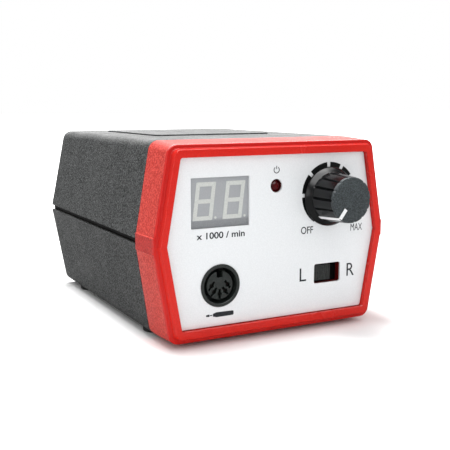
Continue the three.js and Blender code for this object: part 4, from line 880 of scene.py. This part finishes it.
def seam_tongue():
    """The lower shell's tongue. Its outer face is the floor of the seam, near black and with almost no
    gloss: painted shade in the gap.
    """
    bm = bmesh.new()
    stations = ((WALL, SHELL_FRONT + TONGUE_GAP), (WALL, REAR_SEAT), (LIP, REAR_SEAT + STEP_DEPTH),
                (LIP, CASE_REAR))
    heights = (-SEAM_HALF, 0.0, TONGUE_TOP)
    for side in (-1, 1):
        loops = []
        for inside, y in stations:
            points = [(side_at(z, TONGUE_INSET), z) for z in heights]
            points += [(side_at(z, inside), z) for z in reversed(heights)]
            loops.append(outline(bm, [(side * x, z, 0.0) for x, z in points], y))
        skinned(bm, loops)
    lean_rear(bm)
    return dress("seam_tongue", bm, "case", "seam_black", soft=0.1)


def top_pad():
    """The raised non-slip pad on the upper shell."""
    bm = bmesh.new()
    face = outline(bm, box_corners(*PAD_FACE), 0.0, keep_face=True)
    pushed(bm, [face], (0.0, PAD_THICKNESS, 0.0))
    bmesh.ops.rotate(bm, cent=(0, 0, 0), matrix=Matrix.Rotation(math.pi / 2, 3, "X"), verts=bm.verts)
    bmesh.ops.translate(bm, vec=(0.0, PAD_MIDDLE, HALF_HEIGHT - PAD_SUNK), verts=bm.verts)
    return dress("top_pad", bm, "case", "pad_black", soft=0.18)


def feet():
    """Four turned rubber feet with a pocket for the screw head."""
    seat = -HALF_HEIGHT - FOOT_GAP
    sole = seat - FOOT_HEIGHT
    floor = seat - FOOT_FLOOR
    profile = [(SCREW_BORE, seat), (FOOT_RADIUS, seat), (FOOT_RADIUS, sole), (FOOT_POCKET, sole),
               (FOOT_POCKET, floor), (SCREW_BORE, floor)]
    for end, y in FOOT_ROWS:
        for side, x in (("left", -FOOT_X), ("right", FOOT_X)):
            bm = bmesh.new()
            turned(bm, profile, axis="Z", closed=True, steps=48, at=(x, y, 0.0))
            dress(f"rubber_foot_{end}_{side}", bm, "case", "foot_rubber",
                  [f"foot_{end}_{side}"], soft=0.25)


# Front: rim, band and panel
def control_holes(bm, y):
    """Loops of the openings behind the panel's controls, at one depth."""
    window = (SLIDE_SWITCH.x + SWITCH_WINDOW_SHIFT[0], SLIDE_SWITCH.z + SWITCH_WINDOW_SHIFT[1])
    return [
        outline(bm, box_corners(*DISPLAY_WINDOW, flat(DISPLAY)), y, steps=3),
        circle(bm, LAMP_HOLE, y, flat(LAMP), steps=40),
        circle(bm, SHAFT_HOLE, y, flat(KNOB), steps=40),
        outline(bm, box_corners(*SWITCH_WINDOW, window), y, steps=5),
        circle(bm, SOCKET_HOLE, y, flat(SOCKET)),
    ]


def rim_stations():
    """Stations (inset, depth, corner radius, kink) from the opening over the rim to the ledge."""
    kink = (THIN_FACET, 0.0)
    opening = quarter((OPENING_INSET, OPENING_ROUND), (OPENING_INSET - OPENING_ROUND, 0.0),
                      start_first=False)
    side = quarter(RIM_FACE_END, RIM_SIDE_TOP, 5)
    foot = quarter(RIM_SIDE_FOOT, LEDGE_INSIDE, 3, start_first=False)
    return ([(OPENING_INSET, WALL_FRONT, OPENING_CORNER, kink)]
            + [(inset, y, OPENING_CORNER + OPENING_INSET - inset, kink) for inset, y in opening]
            + [(inset, y, RIM_CORNER - inset, kink) for inset, y in side + [RIM_SIDE_TOP]]
            + [(inset, y, LEDGE_CORNER, kink) for inset, y in foot]
            + [(*LEDGE_INSIDE, LEDGE_CORNER + 0.2, kink)])


def band_stations():
    """Stations (inset, depth, corner radius, kink) from the ledge over the band to the spigot's inside."""
    kink = (THIN_FACET, 0.0)
    raised = (BAND_FACET, BAND_FACET_RISE)
    outer, inner = SPIGOT_INSETS
    return ([(inset, y, BAND_CORNER - 0.2, raised) for inset, y in quarter(LEDGE_OUTSIDE, BAND_START, 5)]
            + [(*BAND_START, BAND_CORNER, raised),
               (0.0, BAND_REAR - EDGE_ROUND, CASE_CORNER, raised),
               (EDGE_ROUND, BAND_REAR, CASE_CORNER, raised),
               (outer, BAND_REAR + STEP_DEPTH, SPIGOT_CORNER, kink),
               (outer, SPIGOT_REAR, SPIGOT_CORNER, kink),
               (inner, SPIGOT_REAR + STEP_DEPTH, SMALLEST_CORNER, kink),
               (inner, WALL_BACK, SMALLEST_CORNER, kink)])


def red_bezel():
    """The red front: opening, rounded rim, step, band and the spigot that enters the shells."""
    bm = bmesh.new()
    loops = [outline(bm, case_corners(inset, facet, corner, rise), y)
             for inset, y, corner, (facet, rise) in rim_stations() + band_stations()]
    chain(bm, loops)
    front_holes = control_holes(bm, WALL_FRONT)
    back_holes = control_holes(bm, WALL_BACK)
    for holes in zip(front_holes, back_holes):
        chain(bm, holes)
    pierced(bm, [loops[0]] + front_holes)
    pierced(bm, [loops[-1]] + back_holes)
    square_rim(bm)
    lower_top(bm)
    lean_front(bm)
    drop_bottom(bm)
    return dress("red_bezel", bm, "case", "bezel_red", ["front_bezel"], sharp=30.0)


def square_rim(bm):
    """Sets the rim's walls upright at top and bottom. Only its side walls slope."""
    for vert in bm.verts:
        if vert.co.y < UPRIGHT_DEPTH:
            shift = RIM_UPRIGHT * ramp(abs(vert.co.z), *UPRIGHT_HEIGHTS)
            vert.co.z += math.copysign(shift, vert.co.z)


def lower_top(bm):
    """Brings the top of the front down a little towards its face, as a mould's draft."""
    for vert in bm.verts:
        forward = max(1.0 - vert.co.y / BAND_REAR, 0.0)
        vert.co.z -= TOP_DRAFT * ramp(vert.co.z, *DRAFT_HEIGHTS) * forward


def white_panel():
    bm = bmesh.new()
    edge = outline(bm, case_corners(OPENING_INSET + PANEL_SLIP, THIN_FACET, PANEL_CORNER), PANEL_FACE)
    pierced_plate(bm, [edge] + control_holes(bm, PANEL_FACE), PANEL_BACK - PANEL_FACE)
    lower_top(bm)
    return dress("white_panel", bm, "case", "panel_white", ["front_panel"])


# Print on the panel
def lettering(bm, words, centre, height, width, weight):
    """Plain letters as thin raised ink, scaled to a height and a width in millimetres."""
    curve = bpy.data.curves.new("ink", "FONT")
    curve.body = words
    curve.align_x = "CENTER"
    curve.extrude = 0.004
    curve.offset = weight
    writer = bpy.data.objects.new("ink", curve)
    bpy.context.scene.collection.objects.link(writer)
    bpy.context.view_layer.update()
    mesh = bpy.data.meshes.new_from_object(writer.evaluated_get(bpy.context.evaluated_depsgraph_get()))
    tops = [vert.co.y for vert in mesh.vertices]
    sides = [vert.co.x for vert in mesh.vertices]
    tall = height / (max(tops) - min(tops))
    wide = width / (max(sides) - min(sides))
    middle = Vector(((max(sides) + min(sides)) / 2, (max(tops) + min(tops)) / 2, 0.0))
    place = (Matrix.Translation((centre[0], PANEL_FACE - LETTER_RISE, centre[1]))
             @ Matrix.Rotation(math.pi / 2, 4, "X") @ Matrix.Diagonal((wide, tall, tall, 1.0))
             @ Matrix.Translation(-middle))
    mesh.transform(place)
    bm.from_mesh(mesh)
    bpy.data.objects.remove(writer)
    bpy.data.curves.remove(curve)
    bpy.data.meshes.remove(mesh)


def inked(bm, centre, corners):
    """A flat shape of ink from its corners (x, z, radius) about a centre."""
    points = [(centre[0] + x, centre[1] + z, radius) for x, z, radius in corners]
    face = outline(bm, points, PANEL_FACE - INK / 2, keep_face=True, steps=6)
    pushed(bm, [face], (0.0, INK, 0.0))


def ink_arc(bm, centre, radii, start, end):
    """Part of a ring of ink, its angles clockwise from the top in degrees."""
    first = math.radians(start)
    ends = [(centre[0] + r * math.sin(first), centre[1] + r * math.cos(first)) for r in radii]
    verts = [bm.verts.new((x, PANEL_FACE - INK / 2, z)) for x, z in ends]
    edge = bm.edges.new(verts)
    steps = max(4, int(abs(end - start) / 3))
    before = set(bm.faces)
    bmesh.ops.spin(bm, geom=verts + [edge], cent=(centre[0], 0.0, centre[1]), axis=(0, 1, 0),
                   angle=math.radians(end - start), steps=steps)
    pushed(bm, [face for face in bm.faces if face not in before], (0.0, INK, 0.0))


def panel_print():
    """Grey legends: plain words and signs, the unit of the display, and two small pictures."""
    bm = bmesh.new()
    for words, centre, height, width, weight in LEGENDS:
        lettering(bm, words, centre, height, width, weight)
    for corners in (SIGN_BODY, SIGN_COLLET, SIGN_BIT):
        inked(bm, HANDPIECE_SIGN, corners)
    power_sign = (LAMP.x, POWER_SIGN_Z)
    ink_arc(bm, power_sign, POWER_RING, *POWER_RING_ENDS)
    inked(bm, power_sign, POWER_STROKE)
    return dress("panel_print", bm, "case", "print_grey", sharp=30.0)


def dial_print():
    """The black ring round the knob, in segments with white gaps."""
    bm = bmesh.new()
    for start, end in zip(DIAL_MARKS, DIAL_MARKS[1:]):
        ink_arc(bm, flat(DIAL), DIAL_RING, start + DIAL_HALF_GAP, end - DIAL_HALF_GAP)
    return dress("dial_print", bm, "case", "print_black", sharp=30.0)


# Speed knob
def grip_radius(height):
    share = (height - GRIP_ROOT) / (KNOB_HEIGHT - GRIP_ROOT)
    return GRIP_FOOT_RADIUS + (GRIP_TOP_RADIUS - GRIP_FOOT_RADIUS) * share


def cut_flutes(bm, low, depth):
    """Presses the grip's flutes in, towards the knob's axis."""
    pitch = 2 * math.pi / FLUTES
    step = pitch / STEPS_PER_FLUTE
    for vert in bm.verts[:]:
        radius = math.hypot(vert.co.x, vert.co.z)
        if radius < FLUTE_REACH or PANEL_FACE - vert.co.y < low:
            continue
        angle = math.atan2(vert.co.x, vert.co.z) - POINTER_ANGLE - FLUTE_TURN
        away = abs((angle + pitch / 2) % pitch - pitch / 2)
        place = int(round(away / step))
        if place < len(FLUTE_PROFILE):
            share = (radius - depth * FLUTE_PROFILE[place]) / radius
            bmesh.ops.scale(bm, vec=(share, 1.0, share), verts=[vert])


def aim(bm, angle):
    """Turns a shape made along the 12 o'clock line to a clockwise angle."""
    bmesh.ops.rotate(bm, cent=(0, 0, 0), matrix=Matrix.Rotation(angle, 3, "Y"), verts=bm.verts)


def fluted(profile, low, depth):
    """A turned part of the knob from its (radius, height) profile, with flutes."""
    bm = bmesh.new()
    turned(bm, [(r, PANEL_FACE - height) for r, height in profile], steps=FLUTES * STEPS_PER_FLUTE)
    aim(bm, POINTER_ANGLE + FLUTE_TURN + math.pi / 2)
    cut_flutes(bm, low, depth)
    bmesh.ops.translate(bm, vec=KNOB, verts=bm.verts)
    return bm


def knob_grip():
    profile = [(0.0, CAP_BACK), (grip_radius(CAP_BACK), CAP_BACK)]
    profile += [(grip_radius(height), height) for height in GRIP_HEIGHTS] + list(KNOB_SKIRT)
    bm = fluted(profile, GRIP_ROOT + 0.1, GRIP_FLUTE_DEPTH)
    return dress("knob_grip", bm, "knob", "knob_gloss", ["speed_knob"], sharp=38.0)


def knob_face():
    profile = [(r, KNOB_HEIGHT - drop) for r, drop in FACE_EDGE]
    profile += [(grip_radius(CAP_BACK), CAP_BACK), (0.0, CAP_BACK)]
    bm = fluted(profile, GRIP_ROOT, FACE_FLUTE_DEPTH)
    return dress("knob_face", bm, "knob", "knob_matte", ["knob_cap"], sharp=38.0)


def knob_pointer():
    """White paint in the pointer's groove: along the face, over the edge and down the grip."""
    bm = bmesh.new()
    sunk = KNOB_HEIGHT - POINTER_DEPTH
    proud = KNOB_HEIGHT + FACE_PAINT_RISE
    shoulder = KNOB_HEIGHT - PAINT_SHOULDER
    points = [(POINTER_START, sunk), (POINTER_END, sunk), (POINTER_HEEL, POINTER_FOOT),
              (grip_radius(POINTER_FOOT) + PAINT_RISE, POINTER_FOOT),
              (grip_radius(shoulder) + PAINT_RISE, shoulder), (PAINT_EDGE, proud), (POINTER_START, proud)]
    corners = [(-POINTER_HALF_WIDTH, PANEL_FACE - height, r) for r, height in points]
    side = bm.faces.new([bm.verts.new(corner) for corner in corners])
    pushed(bm, [side], (2 * POINTER_HALF_WIDTH, 0.0, 0.0))
    aim(bm, POINTER_ANGLE)
    bmesh.ops.translate(bm, vec=KNOB, verts=bm.verts)
    return dress("pointer", bm, "knob", "paint_white", ["knob_pointer"], soft=0.08)


# Display and lamp
def display_block():
    bm = bmesh.new()
    centred_block(bm, DISPLAY, DISPLAY_HALF_SIZE, (PANEL_BACK, DISPLAY_BACK), 0.15)
    centred_block(bm, DISPLAY, FLANGE_HALF_SIZE, FLANGE_DEPTHS)
    return dress("display_block", bm, "case", "display_paint", ["display_module"],
                 sharp=40.0)


def bar(bm, points):
    """One bar of a digit, set on the display's face."""
    face = outline(bm, [(x, z, 0.0) for x, z in points], BAR_FACE, keep_face=True)
    pushed(bm, [face], (0.0, BAR_DEPTH, 0.0))


def digit_bars(bm):
    """The seven mitred bars of one digit, upright about its middle."""
    side, top, gap = DIGIT_HALF_WIDTH, DIGIT_HALF_HEIGHT, BAR_GAP
    inner, half = side - BAR_WIDTH, BAR_WIDTH / 2
    under = top - BAR_WIDTH
    for up in (-1, 1):
        bar(bm, [(side - gap, up * top), (gap - side, up * top), (gap - inner, up * under),
                 (inner - gap, up * under)])
        for right in (-1, 1):
            corners = [(side, top - gap), (side, gap), (side - half, gap), (inner, half + gap),
                       (inner, under - gap)]
            bar(bm, [(right * x, up * z) for x, z in corners])
    bar(bm, [(side - half - gap, 0.0), (inner - gap, half), (gap - inner, half), (gap + half - side, 0.0),
             (gap - inner, -half), (inner - gap, -half)])


def display_digits():
    """Two unlit digits and their points, leaning to the right."""
    bm = bmesh.new()
    lean = Matrix.Identity(4)
    lean[0][2] = math.tan(DIGIT_LEAN)
    for centre in DIGIT_PLACES:
        made = set(bm.verts)
        digit_bars(bm)
        fresh = [vert for vert in bm.verts if vert not in made]
        bmesh.ops.transform(bm, matrix=Matrix.Translation((centre, 0.0, DIGIT_MIDDLE)) @ lean, verts=fresh)
        turned(bm, POINT_PROFILE, steps=32, at=(centre + POINT_PLACE[0], 0.0, POINT_PLACE[1]))
    return dress("display_digits", bm, "case", "segment_white", sharp=30.0)


def pilot_lens():
    bm = bmesh.new()
    dome = quarter((0.0, LENS_TIP), (LENS_RADIUS, LENS_TIP + LENS_RADIUS), LENS_STEPS)
    rim = (LENS_RADIUS, LENS_TIP + LENS_RADIUS)
    turned(bm, dome + [rim] + list(LENS_REAR), at=LAMP)
    turned(bm, LENS_COLLAR, closed=True, at=LAMP)
    return dress("pilot_lens", bm, "case", "lamp_red", ["pilot_lamp"], sharp=40.0)


# Slide switch
def slide_block(bm, sides, half_height, depths, soft):
    """A block of the slider, placed from the button's middle at rest."""
    rest = SLIDE_SWITCH.x - SLIDE_REST
    low = (rest + sides[0], depths[0], SLIDE_SWITCH.z - half_height)
    high = (rest + sides[1], depths[1], SLIDE_SWITCH.z + half_height)
    block(bm, low, high, soft)


def slide_button():
    """Ribbed button, its shutter behind the window and the lug that enters the switch."""
    bm = bmesh.new()
    slide_block(bm, BUTTON_SIDES, BUTTON_HALF_HEIGHT, BUTTON_DEPTHS, 0.12)
    for rib in range(RIBS):
        left = RIB_START + rib * RIB_PITCH
        slide_block(bm, (left, left + RIB_WIDTH), RIB_HALF_HEIGHT, RIB_DEPTHS, 0.1)
    dress("slide_button", bm, "slider", "slider_grey", sharp=40.0)
    bm = bmesh.new()
    slide_block(bm, SHUTTER_SIDES, SHUTTER_HALF_HEIGHT, SHUTTER_DEPTHS, 0.1)
    slide_block(bm, (-LUG_HALF_SIZE, LUG_HALF_SIZE), LUG_HALF_SIZE, LUG_DEPTHS, 0.1)
    return dress("slide_shutter", bm, "slider", "print_black", ["direction_slider"],
                 sharp=40.0)


# Handpiece socket
def socket_shell():
    bm = bmesh.new()
    turned(bm, SOCKET_PROFILE, at=SOCKET)
    return dress("socket_shell", bm, "case", "socket_black", ["handpiece_socket"],
                 sharp=40.0, soft=0.22)


def keyed_disc(bm, y):
    """The insert's round edge, open at the top for its keyway."""
    start = math.asin(KEYWAY_HALF_WIDTH / INSERT_RADIUS)
    before = set(bm.edges)
    first = bm.verts.new((SOCKET.x + KEYWAY_HALF_WIDTH, y, SOCKET.z + INSERT_RADIUS * math.cos(start)))
    spun = bmesh.ops.spin(bm, geom=[first], cent=(SOCKET.x, y, SOCKET.z), axis=(0.0, 1.0, 0.0),
                          angle=2 * math.pi - 2 * start, steps=ROUND_STEPS)
    last = spun["geom_last"][0]
    left, right = [bm.verts.new((SOCKET.x + side * KEYWAY_HALF_WIDTH, y, SOCKET.z + KEYWAY_FLOOR))
                   for side in (-1, 1)]
    for pair in ((last, left), (left, right), (right, first)):
        bm.edges.new(pair)
    return list(set(bm.edges) - before)


def contact_slot(bm, number, y):
    """The round hole of one contact, with the slot through it."""
    place = math.radians(180.0 + CONTACT_PITCH * number)
    turn = math.radians(SLOT_TURNS[number])
    middle = (SOCKET.x + CONTACT_CIRCLE * math.cos(place), SOCKET.z + CONTACT_CIRCLE * math.sin(place))
    ring = list(SLOT_SIDE) + [(-along, -across, radius) for along, across, radius in SLOT_SIDE]
    corners = [(middle[0] + along * math.cos(turn) - across * math.sin(turn),
                middle[1] + along * math.sin(turn) + across * math.cos(turn), radius)
               for along, across, radius in ring]
    return outline(bm, corners, y)


def socket_face():
    """The socket's insert, pierced by its contact slots."""
    bm = bmesh.new()
    front, back = INSERT_DEPTHS
    slots = [contact_slot(bm, number, front) for number in range(len(SLOT_TURNS))]
    pierced_plate(bm, [keyed_disc(bm, front)] + slots, back - front)
    return dress("socket_face", bm, "case", "socket_black", ["socket_insert"],
                 sharp=40.0, soft=0.08)


# Rear
def rear_plate():
    """The rear panel with its vents and the openings of its fittings."""
    bm = bmesh.new()
    y = REAR_PANEL_INSIDE
    inset = WALL + SLIP
    loops = [outline(bm, case_corners(inset, THIN_FACET, inner_corner(inset)), y)]
    for slot in range(VENT_SLOTS):
        x = VENTS.x + (slot - (VENT_SLOTS - 1) / 2) * VENT_PITCH
        loops.append(outline(bm, box_corners(*VENT_SLOT, (x, VENTS.z)), y, steps=5))
    loops += [
        outline(bm, box_corners(*INLET_HOLE, flat(INLET)), y, steps=3),
        outline(bm, box_corners(*MODE_HOLE, flat(MODE)), y, steps=3),
        circle(bm, FUSE_HOLE, y, flat(FUSE)),
        circle(bm, JACK_HOLE, y, flat(JACK)),
    ]
    pierced_plate(bm, loops, REAR_PANEL_OUTSIDE - REAR_PANEL_INSIDE)
    return dress("rear_plate", bm, "case", "satin_black", ["rear_panel"], sharp=40.0)


def panel_fitting(place, stations):
    """A body through the rear panel, skinned over rounded boxes at (size, depth) stations."""
    bm = bmesh.new()
    skinned(bm, [outline(bm, box_corners(*size), y) for size, y in stations])
    bmesh.ops.translate(bm, vec=place, verts=bm.verts)
    return bm


def mains_inlet():
    """Two-pin inlet: flange, body and the mouth for the plug, with its pins."""
    bm = panel_fitting(INLET, [(INLET_BODY, INLET_FRONT), (INLET_BODY, REAR_SEAT),
                               (INLET_FLANGE, REAR_SEAT), (INLET_FLANGE, INLET_FACE),
                               (INLET_MOUTH, INLET_FACE), (INLET_MOUTH, MOUTH_FLOOR)])
    dress("inlet_body", bm, "case", "satin_black", ["mains_inlet"], soft=0.3)
    for number, offset in ((1, -PRONG_OFFSET), (2, PRONG_OFFSET)):
        bm = bmesh.new()
        turned(bm, PRONG_PROFILE, steps=32, at=INLET + Vector((offset, 0.0, 0.0)))
        dress(f"inlet_prong_{number}", bm, "case", "bright_brass", [f"inlet_pin_{number}"])


def fuse_fittings():
    """The fuse holder, and the knurled cap that carries the fuse."""
    bm = bmesh.new()
    turned(bm, FUSE_HOLDER, at=FUSE)
    dress("fuse_socket", bm, "case", "satin_black", ["fuse_holder"], soft=0.3)
    bm = bmesh.new()
    for vert in turned(bm, FUSE_CAP, steps=4 * CAP_KNURLS):
        valley = math.cos(CAP_KNURLS * math.atan2(vert.co.x, vert.co.z)) > 0.5
        if vert.co.y > CAP_GRIP_FOOT and math.hypot(vert.co.x, vert.co.z) > CAP_GRIP_INSIDE and valley:
            bmesh.ops.scale(bm, vec=(KNURL_SHRINK, 1.0, KNURL_SHRINK), verts=[vert])
    sink_slot(bm)
    bmesh.ops.translate(bm, vec=FUSE, verts=bm.verts)
    dress("fuse_knob", bm, "fuse_carrier", "satin_black", ["fuse_cap"], soft=0.12)


def sink_slot(bm):
    """A screwdriver slot pressed into the cap's end."""
    x, z = CAP_SLOT_HALF_SIZE
    for point, normal in (((x, 0, 0), (1, 0, 0)), ((-x, 0, 0), (1, 0, 0)), ((0, 0, z), (0, 0, 1)),
                          ((0, 0, -z), (0, 0, 1))):
        cut_top(bm, point, normal)
    faces = [face for face in bm.faces if face.normal.y ** 2 > 0.9 and face.calc_center_median().y > CAP_TOP
             and abs(face.calc_center_median().x) < x and abs(face.calc_center_median().z) < z]
    pushed(bm, faces, (0.0, -CAP_SLOT_DEPTH, 0.0))


def cut_top(bm, point, normal):
    """Cuts the faces of the cap's end along a plane."""
    top = [face for face in bm.faces if face.calc_center_median().y > CAP_TOP]
    near = {vert for face in top for vert in face.verts} | {edge for face in top for edge in face.edges}
    bmesh.ops.bisect_plane(bm, geom=list(near | set(top)), plane_co=point, plane_no=normal)


def pedal_jack():
    """The foot pedal's jack and its hexagon nut."""
    bm = bmesh.new()
    centred_block(bm, Vector(), JACK_HALF_SIZE, JACK_DEPTHS, 0.4)
    turned(bm, JACK_THROAT)
    bmesh.ops.translate(bm, vec=JACK, verts=bm.verts)
    dress("jack_body", bm, "case", "satin_black", ["pedal_jack"], sharp=40.0)
    bm = bmesh.new()
    corner = NUT_HALF_WIDTH / math.cos(math.pi / 6)
    loops = [circle(bm, corner, REAR_SEAT, steps=6), circle(bm, JACK_HOLE, REAR_SEAT)]
    pierced_plate(bm, loops, NUT_THICKNESS)
    bmesh.ops.translate(bm, vec=JACK, verts=bm.verts)
    dress("jack_nut", bm, "case", "zinc_steel", ["pedal_jack_nut"])


def mode_switch():
    """Rocker switch for hand or foot control, its rocker tipped to one side."""
    face = REAR_SEAT + MODE_RISE
    bm = panel_fitting(MODE, [(MODE_BODY, MODE_FRONT), (MODE_BODY, REAR_SEAT), (MODE_FLANGE, REAR_SEAT),
                              (MODE_FLANGE, face), (MODE_MOUTH, face), (MODE_MOUTH, face - MODE_WELL)])
    dress("rocker_frame", bm, "case", "satin_black", ["mode_switch"], soft=0.25)
    bm = bmesh.new()
    rocker = bm.faces.new([bm.verts.new((x, y, -ROCKER_HALF_WIDTH)) for x, y in ROCKER_SIDE])
    pushed(bm, [rocker], (0.0, 0.0, 2 * ROCKER_HALF_WIDTH))
    bmesh.ops.rotate(bm, cent=(0, 0, 0), matrix=Matrix.Rotation(ROCKER_TIP, 3, "Z"), verts=bm.verts)
    bmesh.ops.translate(bm, vec=MODE + Vector((0.0, face, 0.0)), verts=bm.verts)
    dress("rocker_key", bm, "rocker", "satin_black", ["mode_rocker"], sharp=30.0, soft=0.3)


# Studio
def studio():
    """White room, white floor, one soft lamp overhead and the camera at the front left."""
    scene = bpy.context.scene
    scene.view_settings.view_transform = "Standard"
    camera = bpy.data.cameras.new("camera")
    camera.lens = CAMERA_LENS
    camera.sensor_width = CAMERA_SENSOR
    camera.clip_start = 0.01
    level = math.cos(CAMERA_PITCH)
    looking = Vector((math.sin(CAMERA_YAW) * level, math.cos(CAMERA_YAW) * level, -math.sin(CAMERA_PITCH)))
    scene.camera = aimed("camera", camera, TO_ROW @ CAMERA_PLACE, looking)
    softbox("top_softbox", SOFTBOX_PLACE, SOFTBOX_SIZE, SOFTBOX_POWER)
    make_world()
    make_floor()


def aimed(name, data, place, looking):
    """A camera or lamp in its place, looking along a direction."""
    holder = bpy.data.objects.new(name, data)
    bpy.context.scene.collection.objects.link(holder)
    holder.location = place
    holder.rotation_mode = "QUATERNION"
    holder.rotation_quaternion = looking.to_track_quat("-Z", "Y")
    return holder


def softbox(name, place, size, power):
    """A square soft lamp, in metres, that points at the object."""
    lamp = bpy.data.lights.new(name, "AREA")
    lamp.shape = "RECTANGLE"
    lamp.size = size
    lamp.size_y = size
    lamp.energy = power
    aimed(name, lamp, place, -place)


def glow(tree, direction, towards, start, end, strength):
    """A soft round patch of light about one direction."""
    facing = tree.nodes.new("ShaderNodeVectorMath")
    facing.operation = "DOT_PRODUCT"
    facing.inputs[1].default_value = Vector(towards).normalized()
    tree.links.new(direction, facing.inputs[0])
    return add_range(tree, facing.outputs["Value"], start, end, 0.0, strength)


def mirrored_room(tree, direction, axis):
    """What gloss reflects: dim walls, and soft lights behind, above, in front and to the left."""
    strength = add_range(tree, axis["Y"], -0.9, 0.5, 0.35, 0.6)
    for light in MIRRORED_LIGHTS:
        strength = add_math(tree, "ADD", strength, glow(tree, direction, *light))
    return strength


def make_world():
    """A bright white room. Gloss mirrors a dimmer room with lamps. Seen directly, it is white."""
    world = bpy.data.worlds.new("white_room")
    bpy.context.scene.world = world
    world.use_nodes = True
    tree = world.node_tree
    room = tree.nodes["Background"]
    room.inputs["Color"].default_value = WHITE
    direction = tree.nodes.new("ShaderNodeTexCoord").outputs["Generated"]
    axis = axes(tree, direction)
    front = add_range(tree, axis["Y"], -0.9, 0.3, 0.85, 0.3)
    overhead = add_range(tree, axis["Z"], 0.1, 0.7, 0.0, 0.5)
    path = tree.nodes.new("ShaderNodeLightPath")
    kind = tree.nodes.new("ShaderNodeMix")
    tree.links.new(path.outputs["Is Glossy Ray"], kind.inputs["Factor"])
    tree.links.new(add_math(tree, "ADD", front, overhead), kind.inputs["A"])
    tree.links.new(mirrored_room(tree, direction, axis), kind.inputs["B"])
    tree.links.new(kind.outputs["Result"], room.inputs["Strength"])
    seen = tree.nodes.new("ShaderNodeBackground")
    seen.inputs["Color"].default_value = WHITE
    seen.inputs["Strength"].default_value = 1.0
    direct = add_math(tree, "MAXIMUM", path.outputs["Is Camera Ray"], path.outputs["Is Transmission Ray"])
    choice = tree.nodes.new("ShaderNodeMixShader")
    tree.links.new(direct, choice.inputs[0])
    tree.links.new(room.outputs[0], choice.inputs[1])
    tree.links.new(seen.outputs[0], choice.inputs[2])
    tree.links.new(choice.outputs[0], tree.nodes["World Output"].inputs["Surface"])


def make_floor():
    """White paper that keeps the object's shadow. Far from the object it is plain white."""
    bm = bmesh.new()
    bmesh.ops.create_grid(bm, x_segments=1, y_segments=1, size=6.0)
    mesh = bpy.data.meshes.new("floor")
    bm.to_mesh(mesh)
    bm.free()
    floor = bpy.data.objects.new("floor", mesh)
    bpy.context.scene.collection.objects.link(floor)
    paper = bpy.data.materials.new("white_paper")
    paper.use_nodes = True
    tree = paper.node_tree
    surface = tree.nodes["Principled BSDF"]
    surface.inputs["Roughness"].default_value = 0.6
    surface.inputs["Specular IOR Level"].default_value = 0.0
    path = tree.nodes.new("ShaderNodeLightPath")
    shade = mixed(tree, path.outputs["Is Glossy Ray"], (0.95, 0.95, 0.95, 1.0), (0.4, 0.4, 0.4, 1.0))
    tree.links.new(shade, surface.inputs["Base Color"])
    where = tree.nodes.new("ShaderNodeTexCoord")
    away = tree.nodes.new("ShaderNodeVectorMath")
    away.operation = "LENGTH"
    tree.links.new(where.outputs["Object"], away.inputs[0])
    far = add_range(tree, away.outputs["Value"], 0.25, 0.6)
    seen = add_math(tree, "MULTIPLY", far, path.outputs["Is Camera Ray"])
    surface.inputs["Emission Color"].default_value = WHITE
    tree.links.new(seen, surface.inputs["Emission Strength"])
    mesh.materials.append(paper)


shell_half("case_top", True)
shell_half("case_bottom", False)
seam_tongue()
top_pad()
feet()
red_bezel()
white_panel()
panel_print()
dial_print()
knob_grip()
knob_face()
knob_pointer()
display_block()
display_digits()
pilot_lens()
slide_button()
socket_shell()
socket_face()
rear_plate()
mains_inlet()
fuse_fittings()
pedal_jack()
mode_switch()
studio()
